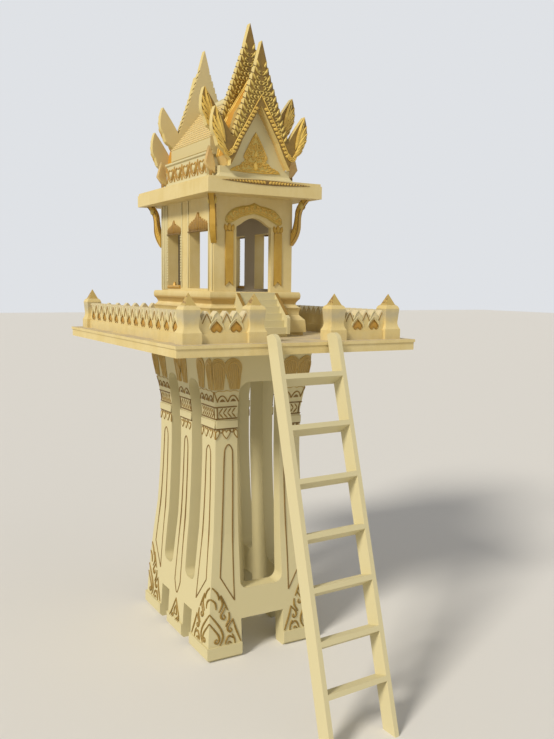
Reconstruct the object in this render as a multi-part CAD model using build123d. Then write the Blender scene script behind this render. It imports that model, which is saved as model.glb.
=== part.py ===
"""Thai spirit house: a cream and gold cast house on a flared six-legged pedestal.

The pedestal carries a deck with a balustrade. The house stands on the deck with a
short stair, two doorways, four windows and stacked gable boards. A ladder leans
against the deck's front edge. Millimetres, +Z up, +X to the right along the front,
the front looks along -Y. The origin is on the ground under the middle of the whole
footprint, ladder included, so the deck's centre stands a little behind it.
"""
from build123d import *
from math import cos, radians, sin
import os

# Pedestal
FOOT_HALF_X = 203.0
FOOT_HALF_Y = 283.0
FOOT_BLOCK_TOP = 47.0
FOOT_BEVEL = 10.0
FOOT_STEP = 6.0
HEAD_BOTTOM = 905.0
DECK_BOTTOM = 1003.0
# Height and inset of the outer face from the foot, at the knots of its curve
CALF = (236.0, 20.0)
KNEE = (400.0, 37.0)
SHAFT = (530.0, 44.0)
WAIST_LOW = (650.0, 48.0)
WAIST_HIGH = (790.0, 48.0)
CAPITAL = (870.0, 36.0)
HEAD_TOP_INSET = 18.0
CAVITY_FOOT_INSET = 56.0
CAVITY_MID_INSET = 79.0
CAVITY_WAIST_INSET = 88.0
CAVITY_MID_HEIGHT = 400.0
CAVITY_WAIST_HEIGHT = 650.0
FRONT_BAY_HALF = 78.0
SIDE_BAY_END = 133.0
MIDDLE_LEG_FOOT_HALF = 66.0
MIDDLE_LEG_KNEE_HALF = 52.0
MIDDLE_LEG_SHAFT_HALF = 47.0
MIDDLE_LEG_KNEE_HEIGHT = 300.0
MIDDLE_LEG_SHAFT_HEIGHT = 500.0
RAIL_BOTTOM = 123.0
RAIL_TOP = 219.0
BAY_TOP = 893.0
BAY_TOP_RADIUS = 35.0
BAY_FOOT_RADIUS = 26.0

# Deck
DECK_CENTRE_Y = 194.5
DECK_HALF_X = 405.0
DECK_HALF_Y = 518.0
DECK_TOP = 1036.0
LIP_HEIGHT = 9.0
LIP_STEP = 3.0

# Balustrade
POST_X = 342.0
POST_Y = 455.0
GATE_POST_X = 138.0
POST_BASE = 58.0
POST_BASE_HEIGHT = 31.0
POST_WAIST = 45.0
POST_SHOULDER = 52.0
POST_COVE = 24.0
POST_CREST = 45.0
POST_CAP = 32.0
POST_SHOULDER_TOP = 1131.0
POST_CREST_TOP = 1139.0
POST_CAP_TOP = 1144.0
POST_TIP = 1178.0
PARAPET_BAND_HEIGHT = 28.0
PARAPET_BAND_THICK = 36.0
PARAPET_THICK = 26.0
CREST_VALLEY = 64.0
CREST_TOP = 91.0
CREST_BULGE = (0.19, 0.55)
SIDE_CRESTS = 26
BACK_CRESTS = 18
FRONT_CREST_PITCH = 30.5
FRONT_CREST_SHIFT = 9.0
HEART_WIDTH = 38.0
HEART_HEIGHT = 34.0
HEART_FOOT = 30.0
HEART_DEPTH = 4.0

# House
HOUSE_CENTRE_Y = 34.0
WALL_HALF_X = 142.0
WALL_HALF_Y = 223.0
GABLE_WALL_THICK = 18.0
SIDE_WALL_THICK = 38.0
FLOOR = 1178.0
EAVE_BOTTOM = 1478.0
DOOR_HALF = 63.0
DOOR_SHOULDER = 1385.0
DOOR_APEX = 1414.5
DOOR_OGEE = (46.0, 1394.0)
DOOR_BOW = 4.0
SILL_TOP = 1187.0
WINDOW_TOP = 1375.0
# Window edges along the wall, measured from the house centre
WINDOW_SPANS = ((-179.0, -31.0), (46.0, 160.0))
PLINTH_BOTTOM = 1046.0
PLINTH_FOOT_INSET = 8.0
# Projection beyond the wall and height, at the knots of the plinth's moulding
PLINTH_FOOT = (38.0, PLINTH_BOTTOM)
PLINTH_SHOULDER = (35.0, 1086.0)
PLINTH_RECESS = (20.0, 1102.0)
PLINTH_FLARE = (26.0, 1126.0)
PLINTH_NECK = (11.0, 1139.0)
PLINTH_ROLL = (21.0, 1155.0)
PLINTH_EDGE = (20.0, FLOOR)
PLINTH_BOW = 2.5

# Stair
STAIR_HALF = 64.0
STAIR_FRONT = -331.0
RISERS = 6
TREAD = 15.7
CHEEK_THICK = 11.0
CHEEK_TOP = 1174.0
CHEEK_TOP_Y = -249.0
CHEEK_KNEE = 1105.0
CHEEK_KNEE_Y = -324.0
CHEEK_FRONT = STAIR_FRONT - 3.0
CHEEK_BEVEL = 8.0
CHEEK_FOOT_STEP = 4.0
TOP_TREAD_DROP = 2.0

# Eave and roof
EAVE_HALF_X = 201.0
EAVE_HALF_Y = 310.0
EAVE_TOP = 1526.0
EAVE_LIP = 8.0
EAVE_LIP_STEP = 3.0
FRIEZE_HALF_X = 142.0
FRIEZE_HALF_Y = 170.0
FRIEZE_TOP = 1618.0
FRIEZE_BASE = (6.0, 1542.0)
FRIEZE_FIELD = 1550.0
FRIEZE_FIELD_TOP = 1608.0
FRIEZE_LEDGE = (5.0, 1612.0)
ROOF_HALF_Y = 164.0
FASCIA_HALF_X = 128.0
FASCIA_NECK_HALF_X = 120.0
FASCIA_BOTTOM = 1628.0
FASCIA_TOP = 1664.0
RIDGE = 1823.0
PORCH_PLINTH_HALF_X = 125.0
PORCH_PLINTH_FLARE = 25.0
PORCH_PLINTH_BOW = 3.0
PORCH_PLINTH_TOP = 1570.0
PORCH_FACE_Y = 229.0
PORCH_RIDGE = 1851.0
PORCH_EAVE = (116.0, 1600.0)
PORCH_SHOULDER = (103.0, 1672.0)
PORCH_HIP = (84.0, 1731.0)
PORCH_PLINTH_NECK = 1549.0
# Inner edge of the gable boards and outline of the pediment
GABLE_FOOT = (106.0, 1567.0)
GABLE_KNEE = (65.0, 1648.0)
GABLE_APEX = (0.0, 1758.0)
GABLE_BOW = 2.0
BOARD_THICK = 22.0
# Outline of the lower gable board's right half: blade, valley and wing
BOARD_TIP = (0.0, 1954.0)
BOARD_BLADE = (17.0, 1893.0)
BOARD_VALLEY = (101.0, 1657.0)
WING_TIP = (158.0, 1740.0)
WING_HOOK = (168.0, 1682.0)
WING_ARMPIT = (156.0, 1652.0)
WING_ELBOW = (148.0, 1624.0)
WING_FOOT = (104.0, 1585.0)
WING_BOW = 1.5
TOOTH_COUNT = 13
TOOTH_DEPTH = 5.0
TOOTH_LEAN = 4.0
TOOTH_TAPER = 0.22
LOWER_BOARD_FACE_Y = 266.0
UPPER_BOARD_FACE_Y = 186.0
UPPER_BOARD_LIFT = 73.0
# Eave brackets: distance out from the wall's corner and height
BRACKET_FOOT = (0.0, 1330.0)
BRACKET_ELBOW = (28.0, 1388.0)
BRACKET_THROAT = (29.0, 1432.0)
BRACKET_TIP = (60.0, EAVE_BOTTOM)
BRACKET_HEEL = (38.0, EAVE_BOTTOM)
BRACKET_HOLLOW = (14.0, 1434.0)
BRACKET_CROTCH = (0.0, 1374.0)
BRACKET_BOW = 5.0
BRACKET_THICK = 18.0

# Ladder, with its yaw, lean and rack as it stands
LADDER_WIDTH = 225.0
LADDER_LENGTH = 1124.0
STILE_WIDTH = 14.3
STILE_DEPTH = 48.0
RUNG_THICK = 14.0
RUNG_BACK_DROP = 15.0
RUNG_HEIGHTS = (146.0, 278.0, 415.0, 554.0, 702.0, 848.0, 990.0)
LADDER_YAW = radians(3.54)
LADDER_LEAN = radians(17.35)
LADDER_RACK = radians(-1.57)
LADDER_FOOT_X = -140.9
STILE_TOP_RADIUS = 30.0

REACH = 2500.0


def block(x, y, z):
    """Box between low and high values on each axis."""
    size = [high - low for low, high in (x, y, z)]
    middle = [(high + low) / 2 for low, high in (x, y, z)]
    return Pos(*middle) * Box(*size)


def mirrored_face(right_edges):
    """Close a right-hand outline with its mirror image and straight ends."""
    left_edges = [mirror(edge, about=Plane.YZ) for edge in right_edges]
    edges = right_edges + left_edges
    for end in (right_edges[0] @ 0, right_edges[-1] @ 1):
        if abs(end.X) > 0.001:
            edges.append(Line((-end.X, end.Y), (end.X, end.Y)))
    return make_face(edges)


def moulded_block(outline, half_x, half_y):
    """Block whose four sides follow one moulding, mitred at its corners."""
    across = extrude(Plane.XZ * mirrored_face(outline(half_x)), REACH, both=True)
    along = extrude(Plane.YZ * mirrored_face(outline(half_y)), REACH, both=True)
    return across & along


def gable_prism(face, y_from, y_to):
    """Stand a drawn face upright and give it a thickness along Y."""
    upright = Plane.XZ * face
    return Pos(0, y_to, 0) * extrude(upright, y_to - y_from)


def write(name, solids):
    """Move a sub-part from the deck's frame to the whole's and write its STEP file."""
    if not isinstance(solids, (list, tuple)):
        solids = [solids]
    pieces = []
    for item in solids:
        pieces.extend((Pos(0, DECK_CENTRE_Y, 0) * item).solids())
    whole = pieces[0] if len(pieces) == 1 else Compound(children=pieces)
    export_step(whole, os.path.join("parts", name + ".step"))
    print(name, len(pieces), round(sum(piece.volume for piece in pieces) / 1e6, 3), "litres")


def front_and_back(solid):
    """The house is the same at both ends: a piece and its mirror image."""
    return solid, mirror(solid, about=Plane.XZ)


# Pedestal


def pedestal_outline(half):
    low = half - FOOT_STEP
    levels = (CALF, KNEE, SHAFT, WAIST_LOW, WAIST_HIGH, CAPITAL)
    calf, knee, shaft, waist_low, waist_high, capital = [
        (half - inset, height) for height, inset in levels
    ]
    return [
        Line((half - FOOT_BEVEL, 0), (half, FOOT_BEVEL)),
        Line((half, FOOT_BEVEL), (half, FOOT_BLOCK_TOP)),
        Line((half, FOOT_BLOCK_TOP), (low, FOOT_BLOCK_TOP)),
        ThreePointArc((low, FOOT_BLOCK_TOP), calf, knee),
        ThreePointArc(knee, shaft, waist_low),
        Line(waist_low, waist_high),
        ThreePointArc(waist_high, capital, (half - HEAD_TOP_INSET, DECK_BOTTOM)),
    ]


def cavity_outline(half):
    foot = (half - CAVITY_FOOT_INSET, 0)
    middle = (half - CAVITY_MID_INSET, CAVITY_MID_HEIGHT)
    waist = (half - CAVITY_WAIST_INSET, CAVITY_WAIST_HEIGHT)
    return [
        ThreePointArc(foot, middle, waist),
        Line(waist, (waist[0], HEAD_BOTTOM)),
    ]


def middle_leg_face():
    knee = (MIDDLE_LEG_KNEE_HALF, MIDDLE_LEG_KNEE_HEIGHT)
    foot_top = (MIDDLE_LEG_FOOT_HALF, RAIL_BOTTOM)
    shaft = (MIDDLE_LEG_SHAFT_HALF, MIDDLE_LEG_SHAFT_HEIGHT)
    return mirrored_face([
        Line((MIDDLE_LEG_FOOT_HALF, 0), foot_top),
        ThreePointArc(foot_top, knee, shaft),
        Line(shaft, (MIDDLE_LEG_SHAFT_HALF, HEAD_BOTTOM)),
    ])


def rounded_bay(face):
    """Round a bay's head more than its foot."""
    face = fillet(face.vertices().group_by(Axis.Y)[-1], BAY_TOP_RADIUS)
    return fillet(face.vertices().group_by(Axis.Y)[0], BAY_FOOT_RADIUS)


def build_pedestal():
    outer = moulded_block(pedestal_outline, FOOT_HALF_X, FOOT_HALF_Y)
    cavity = moulded_block(cavity_outline, FOOT_HALF_X, FOOT_HALF_Y)
    shell = (outer & block((-REACH, REACH), (-REACH, REACH), (0, HEAD_BOTTOM))) - cavity
    head = outer & block((-REACH, REACH), (-REACH, REACH), (HEAD_BOTTOM, DECK_BOTTOM))
    write("pedestal_head", head)

    legs = {
        "back_right": (1, 1), "back_left": (-1, 1), "front_right": (1, -1), "front_left": (-1, -1),
    }
    for name, (side, end) in legs.items():
        x_span = sorted((side * FRONT_BAY_HALF, side * FOOT_HALF_X))
        y_span = sorted((end * SIDE_BAY_END, end * FOOT_HALF_Y))
        write("pedestal_leg_" + name, shell & block(x_span, y_span, (0, HEAD_BOTTOM)))

    leg_prism = extrude(Plane.YZ * middle_leg_face(), REACH, both=True)
    bay_height = (BAY_TOP + RAIL_TOP) / 2
    bay_rise = BAY_TOP - RAIL_TOP
    front_bay = rounded_bay(Pos(0, bay_height) * Rectangle(2 * FRONT_BAY_HALF, bay_rise))
    front_gap = extrude(Plane.XZ * front_bay, REACH, both=True)
    side_plain = Pos(SIDE_BAY_END / 2, bay_height) * Rectangle(SIDE_BAY_END, bay_rise)
    side_bay = rounded_bay(side_plain - middle_leg_face())
    side_gap = extrude(Plane.YZ * side_bay, REACH, both=True)
    side_gaps = side_gap + mirror(side_gap, about=Plane.XZ)

    for side, name in ((-1, "left"), (1, "right")):
        x_span = sorted((side * FRONT_BAY_HALF, side * FOOT_HALF_X))
        y_span = (-MIDDLE_LEG_FOOT_HALF, MIDDLE_LEG_FOOT_HALF)
        region = block(x_span, y_span, (0, HEAD_BOTTOM))
        write("pedestal_leg_middle_" + name, shell & region & leg_prism)

    levels = {
        "pedestal_rails": (RAIL_BOTTOM, RAIL_TOP + BAY_FOOT_RADIUS),
        "pedestal_arches": (BAY_TOP - BAY_TOP_RADIUS, HEAD_BOTTOM),
    }
    for name, height in levels.items():
        strips = []
        for end in (-1, 1):
            y_span = sorted((end * SIDE_BAY_END, end * FOOT_HALF_Y))
            region = block((-FRONT_BAY_HALF, FRONT_BAY_HALF), y_span, height)
            strips.append((shell & region) - front_gap)
        for side in (-1, 1):
            x_span = sorted((side * FRONT_BAY_HALF, side * FOOT_HALF_X))
            region = block(x_span, (-SIDE_BAY_END, SIDE_BAY_END), height)
            strips.append((shell & region) - side_gaps - leg_prism)
        write(name, strips)


# Deck and balustrade


def build_deck():
    whole_y = (-DECK_HALF_Y, DECK_HALF_Y)
    lip = block((-DECK_HALF_X, DECK_HALF_X), whole_y, (DECK_TOP - LIP_HEIGHT, DECK_TOP))
    body_x = DECK_HALF_X - LIP_STEP
    body_y = DECK_HALF_Y - LIP_STEP
    body = block((-body_x, body_x), (-body_y, body_y), (DECK_BOTTOM, DECK_TOP - LIP_HEIGHT))
    write("deck_slab", lip + body)


def post_outline(half):
    base_top = DECK_TOP + POST_BASE_HEIGHT
    waist = (POST_WAIST / 2, base_top + POST_COVE)
    shoulder = POST_SHOULDER / 2
    crest = POST_CREST / 2
    cap = POST_CAP / 2
    hollow = (waist[0] + 0.25 * (half - waist[0]), base_top + 0.4 * POST_COVE)
    return [
        Line((half, DECK_TOP), (half, base_top)),
        ThreePointArc((half, base_top), hollow, waist),
        Line(waist, (shoulder, POST_SHOULDER_TOP)),
        Line((shoulder, POST_SHOULDER_TOP), (crest, POST_CREST_TOP)),
        Line((crest, POST_CREST_TOP), (cap, POST_CAP_TOP)),
        Line((cap, POST_CAP_TOP), (0, POST_TIP)),
    ]


def heart_face(centre_x, foot):
    """Spade-shaped recess: a pointed top, two lobes and a notch at the foot."""
    half = HEART_WIDTH / 2
    notch = (0, foot + 0.2 * HEART_HEIGHT)
    lobe = (0.55 * half, foot)
    widest = (half, foot + 0.3 * HEART_HEIGHT)
    apex = (0, foot + HEART_HEIGHT)
    outline = mirrored_face([Line(notch, lobe), Line(lobe, widest), Line(widest, apex)])
    return Pos(centre_x, 0) * outline


def parapet(length, post, pitch, steps, hearts, shift=0.0):
    """Upright panel between two posts: band, scalloped crest and heart recesses in front.

    Its crests stand at whole steps of the pitch to both sides of a shifted middle. The steps
    in hearts have a recess under their crest.
    """
    half = (steps + 0.5) * pitch
    bulge_in = CREST_BULGE[0] * pitch
    bulge = CREST_VALLEY + CREST_BULGE[1] * (CREST_TOP - CREST_VALLEY)
    top = []
    for step in range(-steps, steps + 1):
        left = shift + (step - 0.5) * pitch
        right = left + pitch
        apex = (left + pitch / 2, CREST_TOP)
        top.append(ThreePointArc((left, CREST_VALLEY), (left + bulge_in, bulge), apex))
        top.append(ThreePointArc(apex, (right - bulge_in, bulge), (right, CREST_VALLEY)))
    low, high = shift - half, shift + half
    sides = Polyline((high, CREST_VALLEY), (high, 0), (low, 0), (low, CREST_VALLEY))
    panel_face = make_face(top + [sides])
    panel = gable_prism(panel_face, -PARAPET_THICK / 2, PARAPET_THICK / 2)
    band_y = (-PARAPET_BAND_THICK / 2, PARAPET_BAND_THICK / 2)
    solid = panel + block((low, high), band_y, (0, PARAPET_BAND_HEIGHT))
    for step in hearts:
        heart = heart_face(shift + step * pitch, HEART_FOOT)
        solid -= gable_prism(heart, -PARAPET_THICK / 2 - 1, -PARAPET_THICK / 2 + HEART_DEPTH)
    solid = Pos(0, 0, DECK_TOP) * solid
    post_centre = (length + POST_BASE) / 2
    return solid - Pos(post_centre, 0, 0) * post - Pos(-post_centre, 0, 0) * post


def build_balustrade():
    post = moulded_block(post_outline, POST_BASE / 2, POST_BASE / 2)
    corners = [Pos(x, y, 0) * post for x in (-POST_X, POST_X) for y in (-POST_Y, POST_Y)]
    write("corner_posts", corners)
    write("gate_posts", [Pos(x, -POST_Y, 0) * post for x in (-GATE_POST_X, GATE_POST_X)])

    side_length = 2 * POST_Y - POST_BASE
    side_steps = SIDE_CRESTS // 2
    side_panel = parapet(side_length, post, side_length / SIDE_CRESTS, side_steps,
                         range(1 - side_steps, side_steps, 2))
    write("parapet_left", Pos(-POST_X, 0, 0) * Rot(0, 0, -90) * side_panel)
    write("parapet_right", Pos(POST_X, 0, 0) * Rot(0, 0, 90) * side_panel)
    back_length = 2 * POST_X - POST_BASE
    back_steps = BACK_CRESTS // 2
    back_panel = parapet(back_length, post, back_length / BACK_CRESTS, back_steps,
                         range(1 - back_steps, back_steps, 2))
    write("parapet_back", Pos(0, POST_Y, 0) * Rot(0, 0, 180) * back_panel)
    front_panel = parapet(POST_X - GATE_POST_X - POST_BASE, post, FRONT_CREST_PITCH, 3, (-1, 1),
                          FRONT_CREST_SHIFT)
    middle_x = (POST_X + GATE_POST_X) / 2
    write("parapet_front", [Pos(x, -POST_Y, 0) * front_panel for x in (-middle_x, middle_x)])


# House, in its own frame with the origin under the middle of the house


def plinth_outline(half):
    levels = (PLINTH_FOOT, PLINTH_SHOULDER, PLINTH_RECESS, PLINTH_FLARE, PLINTH_NECK,
              PLINTH_ROLL, PLINTH_EDGE)
    foot, shoulder, recess, flare, neck, roll, edge = [
        (half + out, height) for out, height in levels
    ]
    inset_x = foot[0] - PLINTH_FOOT_INSET
    return [
        Line((inset_x, DECK_TOP), (inset_x, PLINTH_BOTTOM)),
        Line((inset_x, PLINTH_BOTTOM), foot),
        Line(foot, shoulder),
        Line(shoulder, recess),
        SagittaArc(recess, flare, PLINTH_BOW),
        SagittaArc(flare, neck, PLINTH_BOW),
        SagittaArc(neck, roll, PLINTH_BOW / 2),
        SagittaArc(roll, edge, -PLINTH_BOW),
    ]


def stair_side():
    """Stepped outline of the flight, drawn along Y and Z."""
    rise = (FLOOR - TOP_TREAD_DROP - PLINTH_BOTTOM) / RISERS
    points = [(STAIR_FRONT, PLINTH_BOTTOM)]
    for index in range(RISERS):
        y = STAIR_FRONT + index * TREAD
        points.append((y, PLINTH_BOTTOM + (index + 1) * rise))
        points.append((y + TREAD, PLINTH_BOTTOM + (index + 1) * rise))
    points[-1] = (-WALL_HALF_Y, points[-1][1])
    points.append((-WALL_HALF_Y, PLINTH_BOTTOM))
    return make_face(Polyline(*points, close=True))


def cheek_side():
    return make_face(Polyline(
        (CHEEK_FRONT, PLINTH_BOTTOM),
        (CHEEK_FRONT, CHEEK_KNEE - CHEEK_BEVEL),
        (CHEEK_KNEE_Y, CHEEK_KNEE),
        (CHEEK_TOP_Y, CHEEK_TOP),
        (-WALL_HALF_Y, CHEEK_TOP),
        (-WALL_HALF_Y, PLINTH_BOTTOM),
        close=True,
    ))


def build_house_base(place):
    plinth = moulded_block(plinth_outline, WALL_HALF_X, WALL_HALF_Y)
    write("house_plinth", place * plinth)
    foot_z = (DECK_TOP, PLINTH_BOTTOM)
    foot_y = (STAIR_FRONT + PLINTH_FOOT_INSET, -WALL_HALF_Y)
    steps = extrude(Plane.YZ * stair_side(), STAIR_HALF, both=True)
    steps += block((-STAIR_HALF, STAIR_HALF), foot_y, foot_z)
    write("stair_flight", place * (steps - plinth))
    cheeks = []
    for side in (-1, 1):
        near = side * STAIR_HALF
        far = side * (STAIR_HALF + CHEEK_THICK)
        cheek = Pos(min(near, far), 0, 0) * extrude(Plane.YZ * cheek_side(), CHEEK_THICK)
        foot_x = sorted((near, far - side * CHEEK_FOOT_STEP))
        cheeks.append(place * (cheek + block(foot_x, foot_y, foot_z) - plinth))
    write("stair_cheeks", cheeks)


def door_face():
    shoulder = (DOOR_HALF, DOOR_SHOULDER)
    return mirrored_face([
        Line((DOOR_HALF, FLOOR), shoulder),
        Line(shoulder, DOOR_OGEE),
        SagittaArc(DOOR_OGEE, (0, DOOR_APEX), -DOOR_BOW),
    ])


def build_walls(place):
    wall_y = (-WALL_HALF_Y, -WALL_HALF_Y + GABLE_WALL_THICK)
    head = block((-WALL_HALF_X, WALL_HALF_X), wall_y, (DOOR_SHOULDER, EAVE_BOTTOM))
    head -= extrude(Plane.XZ * door_face(), REACH, both=True)
    spans = ((-WALL_HALF_X, -DOOR_HALF), (DOOR_HALF, WALL_HALF_X))
    jambs = [block(span, wall_y, (FLOOR, DOOR_SHOULDER)) for span in spans]
    for name, flip in (("front", False), ("back", True)):
        turned = [mirror(item, about=Plane.XZ) if flip else item for item in [head] + jambs]
        write(name + "_wall_head", place * turned[0])
        write(name + "_wall_jambs", [place * item for item in turned[1:]])

    inner_y = WALL_HALF_Y - GABLE_WALL_THICK
    pier_edges = [-inner_y] + [edge for span in WINDOW_SPANS for edge in span] + [inner_y]
    sills = []
    for side, name in ((-1, "left"), (1, "right")):
        x_span = sorted((side * WALL_HALF_X, side * (WALL_HALF_X - SIDE_WALL_THICK)))
        piers = []
        for start, stop in zip(pier_edges[::2], pier_edges[1::2]):
            piers.append(place * block(x_span, (start, stop), (FLOOR, WINDOW_TOP)))
        write(name + "_wall_piers", piers)
        write(name + "_wall_head",
              place * block(x_span, (-inner_y, inner_y), (WINDOW_TOP, EAVE_BOTTOM)))
        for span in WINDOW_SPANS:
            sills.append(place * block(x_span, span, (FLOOR, SILL_TOP)))
    write("window_sills", sills)


def bracket_face():
    """Eave bracket in its own upright plane: from the wall's corner out to the eave."""
    return make_face([
        SagittaArc(BRACKET_FOOT, BRACKET_ELBOW, -BRACKET_BOW),
        Line(BRACKET_ELBOW, BRACKET_THROAT),
        SagittaArc(BRACKET_THROAT, BRACKET_TIP, BRACKET_BOW),
        Line(BRACKET_TIP, BRACKET_HEEL),
        SagittaArc(BRACKET_HEEL, BRACKET_HOLLOW, -BRACKET_BOW),
        SagittaArc(BRACKET_HOLLOW, BRACKET_CROTCH, BRACKET_BOW),
        Line(BRACKET_CROTCH, BRACKET_FOOT),
    ])


def build_eaves(place):
    slab_top = EAVE_TOP - EAVE_LIP
    slab = block((-EAVE_HALF_X, EAVE_HALF_X), (-EAVE_HALF_Y, EAVE_HALF_Y), (EAVE_BOTTOM, slab_top))
    lip_x = EAVE_HALF_X - EAVE_LIP_STEP
    lip_y = EAVE_HALF_Y - EAVE_LIP_STEP
    lip = block((-lip_x, lip_x), (-lip_y, lip_y), (slab_top, EAVE_TOP))
    write("eave_slab", place * (slab + lip))

    brackets = []
    out = Vector(EAVE_HALF_X - WALL_HALF_X, -(EAVE_HALF_Y - WALL_HALF_Y), 0).normalized()
    corner = Vector(WALL_HALF_X, -WALL_HALF_Y, 0)
    plane = Plane(origin=corner, x_dir=out, z_dir=out.cross(Vector(0, 0, 1)))
    right = extrude(plane * bracket_face(), BRACKET_THICK / 2, both=True)
    right -= block((0, WALL_HALF_X), (-WALL_HALF_Y, 0), (FLOOR, EAVE_BOTTOM))
    for solid in (right, mirror(right, about=Plane.YZ)):
        brackets += [place * item for item in front_and_back(solid)]
    write("eave_brackets", brackets)


def frieze_outline(half):
    base = (half + FRIEZE_BASE[0], FRIEZE_BASE[1])
    ledge = (half + FRIEZE_LEDGE[0], FRIEZE_LEDGE[1])
    field_top = (half, FRIEZE_FIELD_TOP)
    return [
        Line((base[0], EAVE_TOP), base),
        SagittaArc(base, (half, FRIEZE_FIELD), 1),
        Line((half, FRIEZE_FIELD), field_top),
        Line(field_top, ledge),
        Line(ledge, (ledge[0], FRIEZE_TOP)),
    ]


def roof_face():
    points = ((FASCIA_NECK_HALF_X, FRIEZE_TOP), (FASCIA_NECK_HALF_X, FASCIA_BOTTOM),
              (FASCIA_HALF_X, FASCIA_BOTTOM), (FASCIA_HALF_X, FASCIA_TOP), (0, RIDGE))
    return mirrored_face([Line(start, stop) for start, stop in zip(points, points[1:])])


def porch_inner_edges():
    return [SagittaArc(GABLE_FOOT, GABLE_KNEE, GABLE_BOW), Line(GABLE_KNEE, GABLE_APEX)]


def porch_plinth_side(half):
    neck = (half, PORCH_PLINTH_NECK)
    return [
        SagittaArc((half + PORCH_PLINTH_FLARE, EAVE_TOP), neck, PORCH_PLINTH_BOW),
        Line(neck, (half, PORCH_PLINTH_TOP)),
    ]


def toothed_edge(start, end):
    """Edge cut into upward-leaning teeth, which shorten from the start to the end."""
    along = (Vector(*end) - Vector(*start)).normalized()
    inward = Vector(along.Y, -along.X)
    if inward.X > 0:
        inward = -inward
    length = (Vector(*end) - Vector(*start)).length
    mean = length / TOOTH_COUNT
    edges = []
    tip = Vector(*start)
    travelled = 0.0
    for index in range(TOOTH_COUNT):
        taper = 1 + TOOTH_TAPER * (1 - 2 * index / (TOOTH_COUNT - 1))
        travelled += mean * taper
        on_line = Vector(*start) + along * travelled
        root = on_line + inward * TOOTH_DEPTH
        edges.append(Line(tip, root))
        if index < TOOTH_COUNT - 1:
            tip = on_line - along * TOOTH_LEAN
            edges.append(Line(root, tip))
        else:
            edges.append(Line(root, Vector(*end)))
    return edges


def gable_board_face(lift):
    """Half outline of a gable board: blade, teeth, valley and a wing with two hooks."""
    right = [
        Line(BOARD_TIP, BOARD_BLADE),
        *toothed_edge(BOARD_BLADE, BOARD_VALLEY),
        SagittaArc(BOARD_VALLEY, WING_TIP, WING_BOW),
        SagittaArc(WING_TIP, WING_HOOK, 2 * WING_BOW),
        SagittaArc(WING_HOOK, WING_ARMPIT, 2 * WING_BOW),
        Line(WING_ARMPIT, WING_ELBOW),
        SagittaArc(WING_ELBOW, WING_FOOT, -2 * WING_BOW),
        Line(WING_FOOT, GABLE_FOOT),
    ]
    face = mirrored_face(right + porch_inner_edges())
    return Pos(0, lift) * face


def build_roof(place):
    frieze = moulded_block(frieze_outline, FRIEZE_HALF_X, FRIEZE_HALF_Y)
    write("roof_frieze", place * frieze)
    write("main_roof", place * gable_prism(roof_face(), -ROOF_HALF_Y, ROOF_HALF_Y))

    deep = moulded_block(porch_plinth_side, PORCH_PLINTH_HALF_X, PORCH_FACE_Y)
    front_half = block((-REACH, REACH), (-REACH, 0), (EAVE_TOP, PORCH_PLINTH_TOP))
    plinth = (deep & front_half) - frieze
    board_back = LOWER_BOARD_FACE_Y - BOARD_THICK
    outer = mirrored_face([
        Line(GABLE_FOOT, PORCH_EAVE),
        Line(PORCH_EAVE, PORCH_SHOULDER),
        Line(PORCH_SHOULDER, PORCH_HIP),
        Line(PORCH_HIP, (0, PORCH_RIDGE)),
    ])
    inner = mirrored_face(porch_inner_edges())
    clear = block((-REACH, REACH), (-REACH, 0), (PORCH_PLINTH_TOP, REACH))
    porch = (gable_prism(outer, -board_back, -UPPER_BOARD_FACE_Y) & clear)
    porch -= gable_prism(inner, -board_back, -UPPER_BOARD_FACE_Y)
    pediment = gable_prism(inner, -PORCH_FACE_Y, -UPPER_BOARD_FACE_Y) & clear
    lower = gable_prism(gable_board_face(0), -LOWER_BOARD_FACE_Y, -board_back)
    upper = gable_prism(gable_board_face(UPPER_BOARD_LIFT),
                        -UPPER_BOARD_FACE_Y, -UPPER_BOARD_FACE_Y + BOARD_THICK)
    pieces = {
        "gable_plinth": plinth,
        "porch_roof": porch,
        "pediment": pediment,
        "gable_board_lower": lower,
        "gable_board_upper": upper,
    }
    for name, solid in pieces.items():
        front, back = front_and_back(solid)
        write("front_" + name, place * front)
        write("back_" + name, place * back)


# Ladder


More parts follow.
